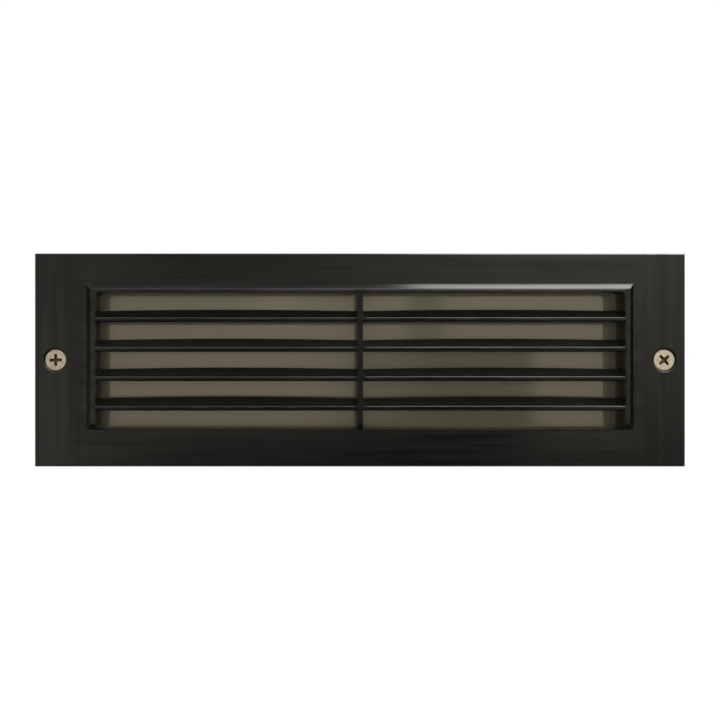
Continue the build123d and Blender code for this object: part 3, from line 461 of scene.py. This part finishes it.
    def relief(self, tree: Tree, place: Socket, site: dict[str, Socket], grain: Socket) -> Socket:
        """Add the pools, the rolled bevel and countersinks, and the grain, one on another.

        Args:
            tree: The material's tree.
            place: The Object coordinates.
            site: What sites() gave.
            grain: The fine grain's height.

        Returns:
            The surface's normal.
        """
        rim = add_node(tree, "Clamp", {
            "Value": site["from_screw"], "Min": self.sink_rim_mm[0] * MM, "Max": self.sink_rim_mm[1] * MM,
        })
        climbs = [
            add_node(tree, "Clamp", {
                "Value": site[off], "Min": start * MM, "Max": (start + self.bevel_reach_mm) * MM,
            })
            for off, start in zip(("off_x", "off_z"), self.bevel_start_mm)
        ]
        climb = add_node(tree, "Math", dict(enumerate(climbs)), operation="ADD")
        pools = self.noise(tree, place, self.pool_mm, self.pool_stretch)
        pooled, bevel = (
            add_node(tree, "Math", {0: height, 1: where}, operation="MULTIPLY")
            for height, where in ((pools, site["in_window"]), (climb, site["raised"]))
        )
        below: dict[str, Socket] = {}
        for height, distance in ((pooled, self.pool_relief_mm * MM), (bevel, self.bevel_roll),
                                 (rim, self.rim_roll), (grain, self.grain_relief_mm * MM)):
            below["Normal"] = add_node(tree, "Bump", {
                "Height": height, "Strength": 1.0, "Distance": distance, **below,
            })
        return below["Normal"]


@dataclass(frozen=True)
class FrostedLens:
    """Pressed glass, sand blasted at its back: olive grey in depth, with a smooth, softly mirroring front."""

    name: str = "sand_blasted_pressed_glass"
    colour: str = "#686553"
    deep_colour: str = "#63604F"
    roughness: tuple = (0.04, 0.08)
    ior: float = 1.5
    specular: float = 1.0  # twice one surface's: the smooth front and the frost's inner side both mirror
    warm_gloss: tuple = (1.0, 0.86, 0.64, 1.0)  # what comes back from the frost is tinted by the glass
    wave_mm: float = 18.0
    wave_relief_mm: float = 0.02
    frost_mm: float = 0.4

    def surface(self, tree: Tree, place: Socket) -> dict:
        """Work out the glass.

        Args:
            tree: The material's tree.
            place: The Object coordinates.

        Returns:
            The shader's inputs: a faintly wavy gloss over a tinted, frosted body.
        """
        wave, frost = (
            add_node(tree, "TexNoise", {"Vector": place, "Scale": 1 / (size * MM), "Detail": 2.0})
            for size in (self.wave_mm, self.frost_mm)
        )
        colours = {"Factor": wave, "A": linear(self.colour), "B": linear(self.deep_colour)}
        return {
            "Base Color": add_node(tree, "Mix", colours, data_type="RGBA"),
            "Roughness": add_node(tree, "MapRange", {"Value": frost, "To": self.roughness}),
            "Normal": add_node(tree, "Bump", {
                "Height": wave, "Strength": 1.0, "Distance": self.wave_relief_mm * MM,
            }),
            "IOR": self.ior, "Specular IOR Level": self.specular, "Specular Tint": self.warm_gloss,
        }


AnyFinish = Finish | BrushedBlackLacquer | FrostedLens


class Paintbox:
    """Makes each finish's material once and puts it on pieces."""

    def __init__(self) -> None:
        """Start with no materials made."""
        self.made: dict[str, bpy.types.Material] = {}

    def material(self, finish: AnyFinish) -> bpy.types.Material:
        """Give a finish's material, made at its first use.

        Args:
            finish: The finish that is wanted.

        Returns:
            Its material.
        """
        if finish.name not in self.made:
            self.made[finish.name] = bpy.data.materials.new(finish.name)
            tree = emptied(self.made[finish.name])
            surface = finish.surface(tree, add_node(tree, "TexCoord", {}, "Object"))
            add_node(tree, "OutputMaterial", {"Surface": add_node(tree, "BsdfPrincipled", surface)})
        return self.made[finish.name]

    def dress(self, piece: bpy.types.Object, finish: AnyFinish) -> None:
        """Put a finish on every slot of a piece.

        Args:
            piece: A CAD node or a new piece.
            finish: What it is made of.
        """
        if not piece.material_slots:
            piece.data.materials.append(None)
        for holder in piece.material_slots:
            holder.material = self.material(finish)


# ---------------------------------------------------------------- mesh tools
ROLLED_CORNERS, CUT_CORNERS = 8, 4  # how many corners a turn of a thread's outline has
CREST_CORNERS = 2  # and how many of a cut thread's lie on its crest
SPARE_TURNS = 3  # what a thread is longer than its rod before it is cut
CUT = 1e-8  # how near to a cut's plane a corner counts as on it, in metres


def piece_of(bm: bmesh.types.BMesh, name: str, smooth_below: float = 35.0) -> bpy.types.Object:
    """Turn a bmesh into a shaded object at the origin.

    Args:
        bm: The finished mesh, in metres, which is freed.
        name: The piece's name.
        smooth_below: Edges that turn less than this, in degrees, are shaded smooth.

    Returns:
        The object, linked to the scene.
    """
    bmesh.ops.remove_doubles(bm, verts=bm.verts, dist=MERGE)
    bmesh.ops.recalc_face_normals(bm, faces=bm.faces)
    mesh = bpy.data.meshes.new(name)
    bm.to_mesh(mesh)
    bm.free()
    mesh.shade_smooth()
    mesh.set_sharp_from_angle(angle=radians(smooth_below))
    made = bpy.data.objects.new(name, mesh)
    bpy.context.scene.collection.objects.link(made)
    return made


def spun(outline: Sequence[tuple[float, float]], steps: int = 48) -> bmesh.types.BMesh:
    """Spin an outline round the local Z axis into a closed solid.

    Args:
        outline: Radius and height of each corner, in millimetres. It starts and ends on the axis.
        steps: How many segments the round has.

    Returns:
        The solid as a bmesh, in metres.
    """
    bm = bmesh.new()
    corners = [bm.verts.new((r * MM, 0, z * MM)) for r, z in outline]
    edges = [bm.edges.new(pair) for pair in zip(corners, corners[1:])]
    bmesh.ops.spin(bm, geom=corners + edges, cent=(0, 0, 0), axis=(0, 0, 1), angle=2 * pi, steps=steps,
                   use_merge=True)
    bmesh.ops.remove_doubles(bm, verts=bm.verts, dist=MERGE)
    bmesh.ops.recalc_face_normals(bm, faces=bm.faces)
    return bm


def threaded(crest: float, root: float, pitch: float, length: float, rounded: bool = False,
             steps: int = 32) -> bmesh.types.BMesh:
    """Spin a thread's flanks along a helix, cut it to length and close its ends.

    Args:
        crest: The thread's outer radius in millimetres.
        root: Its core radius.
        pitch: How far one turn climbs.
        length: The rod's length, from the origin down the local Z axis.
        rounded: Whether the flanks roll, as on a lamp cap, or are cut straight.
        steps: How many segments a turn has.

    Returns:
        The closed rod as a bmesh, in metres.
    """
    bm = bmesh.new()
    per_turn = ROLLED_CORNERS if rounded else CUT_CORNERS
    turns = int(length / pitch) + SPARE_TURNS
    points = []
    for index in range(turns * per_turn + 1):
        share = index / per_turn
        if rounded:
            radius = (crest + root) / 2 + (crest - root) / 2 * cos(2 * pi * share)
        else:
            radius = crest if index % per_turn < CREST_CORNERS else root
        points.append(bm.verts.new((radius * MM, 0, (pitch - share * pitch) * MM)))
    edges = [bm.edges.new(pair) for pair in zip(points, points[1:])]
    bmesh.ops.spin(bm, geom=points + edges, cent=(0, 0, 0), axis=(0, 0, 1), angle=2 * pi, steps=steps,
                   dvec=(0, 0, -pitch * MM / steps), use_merge=False)
    bmesh.ops.remove_doubles(bm, verts=bm.verts, dist=MERGE)
    for height, outward in ((0.0, 1.0), (-length, -1.0)):
        cut = bmesh.ops.bisect_plane(bm, geom=bm.verts[:] + bm.edges[:] + bm.faces[:], dist=CUT,
                                     plane_co=(0, 0, height * MM), plane_no=(0, 0, outward), clear_outer=True)
        rim = [e for e in cut["geom_cut"] if isinstance(e, bmesh.types.BMEdge) and e.is_boundary]
        bmesh.ops.edgeloop_fill(bm, edges=rim)
    bmesh.ops.recalc_face_normals(bm, faces=bm.faces)
    return bm


def joined(parts: list[bmesh.types.BMesh]) -> bmesh.types.BMesh:
    """Join several bmeshes into one.

    Args:
        parts: The bmeshes, which are freed.

    Returns:
        The bmesh that holds them all.
    """
    whole = bmesh.new()
    for part in parts:
        mesh = bpy.data.meshes.new("joining")
        part.to_mesh(mesh)
        part.free()
        whole.from_mesh(mesh)
        bpy.data.meshes.remove(mesh)
    return whole


def carved(bm: bmesh.types.BMesh, cutters: list[bmesh.types.BMesh]) -> bmesh.types.BMesh:
    """Cut shapes out of a solid.

    Args:
        bm: The solid.
        cutters: The closed shapes to take away, one after another.

    Returns:
        What is left.
    """
    for cutter in cutters:
        solid, tool = piece_of(bm, "carving"), piece_of(cutter, "cutter")
        solid.modifiers.new("cut", "BOOLEAN").object = tool
        solid.modifiers["cut"].operation = "DIFFERENCE"
        solid.modifiers["cut"].solver = "EXACT"
        left = bpy.data.meshes.new_from_object(solid.evaluated_get(bpy.context.evaluated_depsgraph_get()))
        bm = bmesh.new()
        bm.from_mesh(left)
        for spent in (solid, tool):
            mesh = spent.data
            bpy.data.objects.remove(spent)
            bpy.data.meshes.remove(mesh)
        bpy.data.meshes.remove(left)
    return bm


def facing(point: Vector, outward: Vector, turn: float = 0.0) -> Matrix:
    """Where a fitting stands: its local Z points outward from a point.

    Args:
        point: The fitting's origin, in metres.
        outward: The way that its local Z points.
        turn: How far it is turned about that axis, in degrees.

    Returns:
        The matrix that puts it there.
    """
    look = outward.to_track_quat("Z", "Y").to_matrix().to_4x4()
    return Matrix.Translation(point) @ look @ Matrix.Rotation(radians(turn), 4, "Z")


def placed_copies(bm: bmesh.types.BMesh, places: list[Matrix]) -> bmesh.types.BMesh:
    """Put a copy of one shape at each place.

    Args:
        bm: The shape, which is freed.
        places: A matrix for each copy.

    Returns:
        All the copies in one bmesh.
    """
    mesh = bpy.data.meshes.new("shape")
    bm.to_mesh(mesh)
    bm.free()
    whole = bmesh.new()
    for place in places:
        start = len(whole.verts)
        whole.from_mesh(mesh)
        whole.verts.ensure_lookup_table()
        bmesh.ops.transform(whole, matrix=place, verts=whole.verts[start:])
    bpy.data.meshes.remove(mesh)
    return whole


# ---------------------------------------------------------------- fasteners
class Head(Enum):
    """The heads that the light's screws have."""

    PAN = "pan"
    COUNTERSUNK = "countersunk"


class Drive(Enum):
    """What turns a screw."""

    CROSS = "cross"
    SLOT = "slot"


@dataclass(frozen=True)
class MachineScrew:
    """A machine screw with its drive recess and its thread, in millimetres."""

    head: Head
    drive: Drive
    shank_radius: float
    pitch: float
    length: float
    head_radius: float
    head_height: float
    recess_across: float
    recess_slot: float
    recess_depth: float
    rim_break: float = 0.12
    rim_land: float = 0.3  # a countersunk head's short upright edge
    neck_fit: float = 0.98  # the neck's share of the shank's radius
    dome_angles: tuple = (20, 40, 58, 74, 90)
    dome_parts: tuple = (0.35, 0.65)  # the shares of a pan head's height that stand upright and that curve
    dome_fullness: float = 0.7  # the lower, the fuller its curve
    wing_taper: tuple = (0.62, 0.8)  # a cross wing's length and any wing's width at the recess's floor
    core_radii: tuple = (1.05, 0.62)  # the cross's pointed middle, at its top and floor, in slot widths
    core_point: float = 1.25  # how much deeper its point lies than the floor
    slot_reach: float = 2.4  # a plain slot's cutter is this many head radii long
    overcut: tuple = (0.5, 0.4)  # how far the wings and the pointed middle stand out of the head
    painted_shade_reach: float = 0.6  # of a cross's width: the faces within this belong to its recess and take its painted shade
    lit_edge: float = 0.1  # but those above this depth stay bright
    root_depth: float = 0.6  # of the pitch
    tip_taper: float = 0.5
    tip_draft: float = 0.35  # how much narrower the thread is at its tip

    def head_outline(self) -> list[tuple[float, float]]:
        """Give the head's half outline.

        Returns:
            Radius and height of each corner from the top down. A countersunk head's top lies at height 0,
            and a pan head's underside.
        """
        r, h, neck = self.head_radius, self.head_height, self.shank_radius * self.neck_fit
        if self.head is Head.COUNTERSUNK:
            foot = neck - r - self.rim_land
            return [(0, 0), (r - self.rim_break, 0), (r, -self.rim_break), (r, -self.rim_land), (neck, foot),
                    (0, foot)]
        upright, curved = self.dome_parts
        dome = [(r * sin(radians(angle)) ** self.dome_fullness, h * (upright + curved * cos(radians(angle))))
                for angle in self.dome_angles]
        return [(0, h), *dome, (r, 0), (0, 0)]

    def recess(self, top: float) -> list[bmesh.types.BMesh]:
        """Make the cutters of the drive recess.

        Args:
            top: The head's top height in millimetres.

        Returns:
            Wings that narrow towards the recess's floor, and for a cross a pointed middle.
        """
        crossed = self.drive is Drive.CROSS
        across = self.recess_across if crossed else self.slot_reach * self.head_radius
        floor = top - self.recess_depth
        cutters = []
        for turn in (0.0, 90.0) if crossed else (0.0,):
            wing = bmesh.new()
            bmesh.ops.create_cube(wing, size=1.0)
            for corner in wing.verts:
                deep = corner.co.z < 0
                corner.co.x *= across * MM * (self.wing_taper[0] if deep and crossed else 1.0)
                corner.co.y *= self.recess_slot * MM * (self.wing_taper[1] if deep else 1.0)
                corner.co.z = (floor if deep else top + self.overcut[0]) * MM
            bmesh.ops.rotate(wing, verts=wing.verts, cent=(0, 0, 0),
                             matrix=Matrix.Rotation(radians(turn), 3, "Z"))
            cutters.append(wing)
        if crossed:
            wide, narrow = (share * self.recess_slot for share in self.core_radii)
            start, point = top + self.overcut[1], top - self.recess_depth * self.core_point
            cutters.append(spun([(0, start), (wide, start), (narrow, floor), (0, point)], steps=12))
        return cutters

    def shape(self) -> bmesh.types.BMesh:
        """Build the screw with its head up the local Z axis.

        Returns:
            The head and its rod. The faces deep in a cross recess have material slot 1.
        """
        sunk = self.head is Head.COUNTERSUNK
        top = 0.0 if sunk else self.head_height
        head = carved(spun(self.head_outline()), self.recess(top))
        # The faces deep in a cross recess get slot 1: the recess's painted shade
        reach_in = self.painted_shade_reach * self.recess_across * MM if self.drive is Drive.CROSS else 0.0
        for face in head.faces:
            middle = face.calc_center_median()
            deep = (top - 2 * self.recess_depth) * MM < middle.z < (top - self.lit_edge) * MM
            face.material_index = int(deep and middle.xy.length < reach_in)
        under = self.shank_radius - self.head_radius - self.rim_land if sunk else 0.0
        reach = self.length + under
        root = self.shank_radius - self.root_depth * self.pitch
        rod = threaded(self.shank_radius, root, self.pitch, reach, steps=24)
        for point in rod.verts:
            past = (-reach + self.tip_taper) * MM - point.co.z
            if past > 0:
                drawn_in = 1 - self.tip_draft * past / (self.tip_taper * MM)
                point.co.x *= drawn_in
                point.co.y *= drawn_in
        bmesh.ops.translate(rod, verts=rod.verts, vec=(0, 0, under * MM))
        return joined([head, rod])


PAN_M3 = MachineScrew(Head.PAN, Drive.CROSS, shank_radius=1.45, pitch=0.5, length=6.0, head_radius=2.7,
                      head_height=1.8, recess_across=3.1, recess_slot=0.75, recess_depth=1.1)
PAN_M4 = MachineScrew(Head.PAN, Drive.CROSS, shank_radius=1.95, pitch=0.7, length=7.0, head_radius=3.3,
                      head_height=2.4, recess_across=3.9, recess_slot=0.9, recess_depth=1.4)
CLIP_SCREW = replace(PAN_M3, length=8.0, head_radius=2.8, head_height=2.0, recess_across=3.0,
                     recess_slot=0.7, recess_depth=1.2)
CLAMP_SCREW = MachineScrew(Head.PAN, Drive.SLOT, shank_radius=1.3, pitch=0.45, length=4.5, head_radius=1.8,
                           head_height=1.2, recess_across=3.6, recess_slot=0.5, recess_depth=0.6)
FACE_SCREW = MachineScrew(Head.COUNTERSUNK, Drive.CROSS, shank_radius=1.95, pitch=0.7, length=26.0,
                          head_radius=3.8, head_height=0.0, recess_across=4.9, recess_slot=1.1,
                          recess_depth=1.5)


def screw_centres(node: str, head_radius: float, axis: int) -> list[Vector]:
    """Find where a group's screws stand, from the node's box.

    Args:
        node: A CAD node of one, two or four screws at the corners of a rectangle.
        head_radius: Their head radius in millimetres.
        axis: 0, 1 or 2: the axis along which the screws run.

    Returns:
        A point for each screw, whose place along the axis is the box's middle.
    """
    low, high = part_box(node)
    spots = [Vector((low + high) / 2)]
    for other in (n for n in range(3) if n != axis):
        first, last = low[other] + head_radius * MM, high[other] - head_radius * MM
        levels = [first, last] if last - first > head_radius * MM else [(first + last) / 2]
        spots = [Vector([level if n == other else spot[n] for n in range(3)])
                 for spot in spots for level in levels]
    return spots


@dataclass(frozen=True)
class ScrewGroup:
    """The threaded screws that stand for one CAD node of plain ones."""

    node: str
    screw: MachineScrew
    outward: Vector  # the way that the heads look
    body: str
    finish: Finish = BRIGHT_ZINC
    # painted shade for the faces deep in a cross recess
    painted_recess_shade: Finish = SHADED_ZINC
    slot: str = "zinc_steel"
    turn: float = 0.0  # how far the first screw happened to be turned, in degrees
    turn_step: float = 37.0  # and how much further each one than the last

    def build(self, paint: Paintbox) -> bpy.types.Object:
        """Make the group's screws.

        Args:
            paint: What gives the finishes' materials.

        Returns:
            One piece that holds all the screws.
        """
        low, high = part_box(self.node)
        axis = max(range(3), key=lambda n: abs(self.outward[n]))
        height = self.screw.head_height * MM
        underside = high[axis] - height if self.outward[axis] > 0 else low[axis] + height
        places = []
        for number, spot in enumerate(screw_centres(self.node, self.screw.head_radius, axis)):
            spot[axis] = underside
            places.append(facing(spot, self.outward, self.turn + self.turn_step * number))
        made = piece_of(placed_copies(self.screw.shape(), places), self.node + "_threaded")
        paint.dress(made, self.finish)
        # slot 1: the recess's painted shade
        made.data.materials.append(paint.material(self.painted_recess_shade))
        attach(made, self.body)
        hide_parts(self.node)
        return made


# ---------------------------------------------------------------- sub-assemblies
@dataclass
class Assembly:
    """Pieces that are fitted together."""

    paint: Paintbox
    finishes: tuple = ()
    groups: tuple = ()

    def build(self) -> list[bpy.types.Object]:
        """Dress the carried-over pieces and make the screws.

        Returns:
            A piece for each group of screws.
        """
        for node, finish in self.finishes:
            self.paint.dress(NODES[node], finish)
        return [group.build(self.paint) for group in self.groups]


@dataclass
class Cover(Assembly):
    """The lift-off front: casting, lens, gasket, clips and their screws."""

    finishes: tuple = (
        ("face_casting", BrushedBlackLacquer()), ("lens_glass", FrostedLens()),
        ("lens_gasket", SILICONE_RUBBER), ("lens_clips", ROLLED_SPRING_STEEL),
    )
    groups: tuple = (ScrewGroup("lens_clip_screws", CLIP_SCREW, REARWARD, "cover"),)


@dataclass
class FaceScrews(Assembly):
    """The two countersunk screws that hold the cover, with their retaining rings."""

    finishes: tuple = (("screw_retainer_left", NATURAL_NYLON), ("screw_retainer_right", NATURAL_NYLON))
    groups: tuple = (
        ScrewGroup("face_screw_left", FACE_SCREW, FORWARD, "left_screw", YELLOW_ZINC, RECESS_PAINTED_SHADE,
                   turn=2.0),
        ScrewGroup("face_screw_right", FACE_SCREW, FORWARD, "right_screw", YELLOW_ZINC, RECESS_PAINTED_SHADE,
                   turn=42.0),
    )


@dataclass
class Housing(Assembly):
    """The back box with its gasket, inserts, entries, reflector, lampholder and wiring."""

    finishes: tuple = (
        ("back_box", BLASTED_CASTING), ("face_gasket", CLOSED_CELL_FOAM), ("screw_inserts", TURNED_BRASS),
        ("entry_washers", SILICONE_RUBBER), ("entry_locknuts", NICKELLED_BRASS),
        ("gland_body", NICKELLED_BRASS), ("gland_seal", SILICONE_RUBBER), ("gland_nut", NICKELLED_BRASS),
        ("blanking_plug", MOULDED_GREY_NYLON), ("reflector", BRIGHT_SHEET), ("lampholder_bracket", BRIGHT_ZINC),
        ("lampholder_body", GLAZED_STEATITE), ("lampholder_shell", NICKELLED_BRASS),
        ("lampholder_contact", TURNED_BRASS),
        ("terminal_block", WHITE_POLYAMIDE), ("terminal_tubes", TURNED_BRASS), ("live_lead", BROWN_SLEEVE),
        ("neutral_lead", BLUE_SLEEVE), ("earth_washer", TURNED_BRASS),
    )
    groups: tuple = (
        ScrewGroup("bracket_screws", replace(PAN_M4, length=5.6), FORWARD, "housing"),
        ScrewGroup("reflector_screws", PAN_M3, FORWARD, "housing"),
        ScrewGroup("terminal_screws", CLAMP_SCREW, FORWARD, "housing"),
        ScrewGroup("terminal_block_screw", replace(PAN_M3, length=12.0), FORWARD, "housing"),
        ScrewGroup("lampholder_screws", replace(PAN_M3, length=8.0), LEFTWARD, "housing"),
        ScrewGroup("earth_screw", PAN_M4, FORWARD, "housing", TURNED_BRASS, TURNED_BRASS, "brass"),
    )


@dataclass
class Lamp(Assembly):
    """The lamp: its glass, and a cap with a rolled thread, a black glass insulator and a soldered tip.

    The outlines give radii, and heights above the cap's rim, in millimetres.
    """

    finishes: tuple = (("lamp_envelope", OPAL_GLASS),)
    thread_radii_mm: tuple = (13.15, 12.5)
    pitch_mm: float = 3.62
    thread_span_mm: tuple = (-2.2, -23.0)
    collar: tuple = ((0, 0), (12.9, 0), (13.1, -0.2), (13.1, -2.1), (12.6, -2.6), (0, -2.6))
    rolled_end: tuple = ((0, -22.6), (12.5, -22.6), (12.6, -24.0), (11.6, -25.0), (10.6, -25.35), (0, -25.35))
    insulator: tuple = ((0, -25.2), (10.3, -25.2), (10.1, -25.5), (5.6, -27.05), (4.2, -27.1), (0, -27.1))
    tip: tuple = ((0, -26.9), (3.9, -26.9), (4.1, -27.2), (3.2, -27.42), (1.6, -27.5), (0, -27.5))

    def build(self) -> list[bpy.types.Object]:
        """Dress the glass and make the cap, along X from its rim.

        Returns:
            The cap's three parts.
        """
        made = super().build()
        low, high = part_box("lamp_cap")
        rim = facing(Vector((high.x, (low.y + high.y) / 2, (low.z + high.z) / 2)), RIGHTWARD)
        start, end = self.thread_span_mm
        thread = threaded(*self.thread_radii_mm, self.pitch_mm, start - end, rounded=True, steps=48)
        bmesh.ops.translate(thread, verts=thread.verts, vec=(0, 0, start * MM))
        for name, parts, finish in (
            ("lamp_cap_threaded", [spun(self.collar), thread, spun(self.rolled_end)], NICKELLED_BRASS),
            ("lamp_cap_insulator", [spun(self.insulator)], VITRITE),
            ("lamp_cap_tip", [spun(self.tip)], SOFT_SOLDER),
        ):
            piece = piece_of(placed_copies(joined(parts), [rim]), name)
            self.paint.dress(piece, finish)
            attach(piece, "lamp")
            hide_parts("lamp_cap")
            made.append(piece)
        return made


# ---------------------------------------------------------------- studio
ANYWHERE = (-2.0, -1.9), (2.0, 1.9)  # edges that lie beyond every direction


@dataclass(frozen=True)
class RoomPatch:
    """A lighter or darker part of the room that glossy faces mirror, bounded by directions' parts.

    Each side gives where the patch begins to show and where it shows fully.
    """

    left: tuple
    right: tuple
    bottom: tuple
    top: tuple
    level: float  # what it makes of the light that would be there


@dataclass
class Studio:
    """The plain pale floor, the soft lights and the camera."""

    camera_distance_mm: float = 330.0  # from the plate's front
    camera_left_mm: float = 20.5  # of the plate's middle
    plate_behind_mm: float = 2.5  # how far the plate's front lies behind the foremost edge
    view_width_mm: float = 260.1  # what the picture spans at the plate's front
    sensor_mm: float = 36.0
    clip_range: tuple = (0.01, 20.0)
    floor_drop: float = 0.30
    floor_radius: float = 0.75
    floor_shade: tuple = (0.0, 0.25)  # along Y: the floor's dim front part goes light between these
    floor_glow: tuple = (0.1, 0.9)
    floor_greys: tuple = (0.6, 0.2)  # what the lamps find, and what adds their shadow to the white
    key_power: float = 7.3
    key_size: tuple = (0.5, 0.7)
    key_place: tuple = (0.38, 0.05, 1.0)
    fill: tuple = (0.4, 3.0)  # the light from the sides, above and below, and from before and behind
    fill_focus: float = 10.0  # the higher, the straighter the front light comes
    backdrop_reach: tuple = (0.35, 0.65)  # a direction's share of +Y from which it meets the white backdrop
    room_level: float = 0.8  # what the face mirrors straight ahead
    rise_limit: float = 0.15  # how far up the room goes on getting lighter
    rise: float = 1.4  # how steeply it does in the middle
    rise_rightward: float = 6.0  # and how much steeper towards the right
    patches: tuple = (
        RoomPatch((-0.3, -0.14), (0.1, 0.04), (0.06, 0.09), (0.4, 0.3), 0.2),  # dim above the middle
        RoomPatch((-0.3, -0.1), (0.28, 0.2), (-1.0, -0.9), (-0.062, -0.09), 0.0),  # dark below
        RoomPatch((0.0, 0.16), (0.25, 0.238), (-0.5, -0.4), (0.022, 0.012), 0.26),  # dark to the right
        RoomPatch((0.112, 0.118), (0.165, 0.135), (0.012, 0.022), (0.4, 0.3), 0.45),  # a strip above it
        RoomPatch((-0.06, -0.045), (0.0, -0.012), (0.03, 0.045), (0.085, 0.075), 1.3),  # a small pale spot
        RoomPatch((0.33, 0.4), ANYWHERE[1], (-1.0, -0.9), (0.4, 0.3), 0.72),  # a little dimmer far right
        RoomPatch((0.24, 0.3), ANYWHERE[1], (-1.0, -0.9), (-0.06, -0.1), 0.5),  # and again low down there
        RoomPatch((-1.0, -0.9), (0.12, 0.04), (0.25, 0.4), (0.94, 0.9), 3.4),  # the pale ceiling
        RoomPatch((0.04, 0.12), (1.0, 0.9), (0.25, 0.4), (0.94, 0.9), 5.0),  # and its lit part
        RoomPatch(*ANYWHERE, (0.88, 0.95), ANYWHERE[1], 0.6),  # straight above
        RoomPatch(ANYWHERE[0], (-0.5, -0.95), *ANYWHERE, 0.6),  # far left
        RoomPatch((0.5, 0.95), ANYWHERE[1], *ANYWHERE, 0.3),  # far right
    )

    def camera(self) -> None:
        """Stand the camera square to the face, as in the photograph."""
        data = bpy.data.cameras.new("camera")
        data.sensor_width = self.sensor_mm
        data.lens = data.sensor_width * self.camera_distance_mm / self.view_width_mm
        data.shift_x = self.camera_left_mm / self.view_width_mm
        data.clip_start, data.clip_end = self.clip_range
        rig = bpy.data.objects.new("camera", data)
        back = (self.plate_behind_mm - self.camera_distance_mm) * MM
        rig.location = (-self.camera_left_mm * MM, CAD_BOX[0].y + back, 0)
        rig.rotation_euler = (radians(90), 0, 0)
        bpy.context.scene.collection.objects.link(rig)
        bpy.context.scene.camera = rig

    @staticmethod
    def any_ray(tree: Tree, *kinds: str) -> Socket:
        """Tell some kinds of rays from the rest.

        Args:
            tree: A material's or the world's tree.
            *kinds: The Light Path outputs that count.

        Returns:
            1 for the rays of those kinds, and 0 for others.
        """
        found = 0.0
        for kind in kinds:
            ray = add_node(tree, "LightPath", {}, kind)
            found = add_node(tree, "Math", {0: ray, 1: found}, operation="ADD", use_clamp=True)
        return found

    def floor(self) -> None:
        """Lay a pale round floor well below the light, whose front part lies in the room's shade."""
        bm = bmesh.new()
        bmesh.ops.create_circle(bm, cap_ends=True, segments=96, radius=self.floor_radius)
        bmesh.ops.translate(bm, verts=bm.verts, vec=(0, 0, CAD_BOX[0].z - self.floor_drop))
        made = piece_of(bm, "floor")
        pale = bpy.data.materials.new("pale_floor")
        tree = emptied(pale)
        depth = add_node(tree, "SeparateXYZ", {0: add_node(tree, "TexCoord", {}, "Object")}, "Y")
        shaded = add_node(tree, "MapRange", {"Value": depth, "From": self.floor_shade, "To": self.floor_glow})
        level = add_node(tree, "Mix", {
            "Factor": self.any_ray(tree, "Is Camera Ray"), "A": shaded, "B": self.floor_glow[1],
        }, data_type="FLOAT")
        plain, faint = (add_node(tree, "BsdfDiffuse", {"Color": (grey, grey, grey, 1)})
                        for grey in self.floor_greys)
        glow = add_node(tree, "Emission", {"Color": WHITE, "Strength": level})
        white = add_node(tree, "AddShader", {0: glow, 1: faint})
        seen = self.any_ray(tree, "Is Camera Ray", "Is Glossy Ray", "Is Transmission Ray")
        mixed = add_node(tree, "MixShader", {0: seen, 1: plain, 2: white})
        add_node(tree, "OutputMaterial", {"Surface": mixed})
        made.data.materials.append(pale)

    def world(self) -> None:
        """Surround the light with a white backdrop behind it and a dimmer room before it."""
        world = bpy.data.worlds.new("studio")
        bpy.context.scene.world = world
        world.cycles.sampling_method = "NONE"
        tree = emptied(world)
        way = add_node(tree, "TexCoord", {}, "Generated")
        across, depth, height = (add_node(tree, "SeparateXYZ", {0: way}, axis) for axis in "XYZ")
        backdrop = soft_region(tree, (depth, *self.backdrop_reach))
        mirrored = add_node(tree, "Mix", {
            "Factor": backdrop, "A": self.room(tree, across, height), "B": 1.0,
        }, data_type="FLOAT")
        straight = add_node(tree, "Math", {
            0: add_node(tree, "Math", {0: depth}, operation="ABSOLUTE"), 1: self.fill_focus,
        }, operation="POWER")
        level = layered(
            tree, add_node(tree, "MapRange", {"Value": straight, "To": self.fill}),
            (self.any_ray(tree, "Is Glossy Ray", "Is Transmission Ray"), mirrored),
            (self.any_ray(tree, "Is Camera Ray"), 1.0),
        )
        glow = add_node(tree, "Background", {"Color": WHITE, "Strength": level})
        add_node(tree, "OutputWorld", {"Surface": glow})

    def room(self, tree: Tree, across: Socket, height: Socket) -> Socket:
        """Shade the room that glossy faces mirror.

        Args:
            tree: The world's tree.
            across: The direction's share of +X.
            height: Its share of +Z.

        Returns:
            The room's brightness: lighter above and to the right, with its patches.
        """
        risen = add_node(tree, "Clamp", {"Value": height, "Min": 0.0, "Max": self.rise_limit})
        steepness = add_node(tree, "Math", {0: across, 1: self.rise_rightward, 2: self.rise},
                             operation="MULTIPLY_ADD")
        level = add_node(tree, "Math", {0: risen, 1: steepness, 2: self.room_level}, operation="MULTIPLY_ADD")
        for patch in self.patches:
            covered = soft_region(tree, (across, *patch.left), (across, *patch.right),
                                  (height, *patch.bottom), (height, *patch.top))
            share = add_node(tree, "Mix", {"Factor": covered, "A": 1.0, "B": patch.level}, data_type="FLOAT")
            level = add_node(tree, "Math", {0: level, 1: share}, operation="MULTIPLY")
        return level

    def lights(self) -> None:
        """Hang one large soft light above and to the right."""
        data = bpy.data.lights.new("key", "AREA")
        data.shape = "RECTANGLE"
        data.size, data.size_y = self.key_size
        data.energy = self.key_power
        lamp = bpy.data.objects.new("key", data)
        lamp.location = self.key_place
        bpy.context.scene.collection.objects.link(lamp)

    def build(self) -> None:
        """Set the stage."""
        self.camera()
        self.floor()
        self.world()
        self.lights()
        bpy.context.scene.view_settings.view_transform = "Standard"


def main() -> None:
    """Build the sub-assemblies in order and report their pieces."""
    logging.basicConfig(level=logging.INFO, format="%(name)s: %(message)s")
    Studio().build()
    paint = Paintbox()
    for assembly in (Cover(paint), FaceScrews(paint), Housing(paint), Lamp(paint)):
        for piece in assembly.build():
            log.info("%s: %s, %d faces", type(assembly).__name__, piece.name, len(piece.data.polygons))


if __name__ == "__main__":
    main()
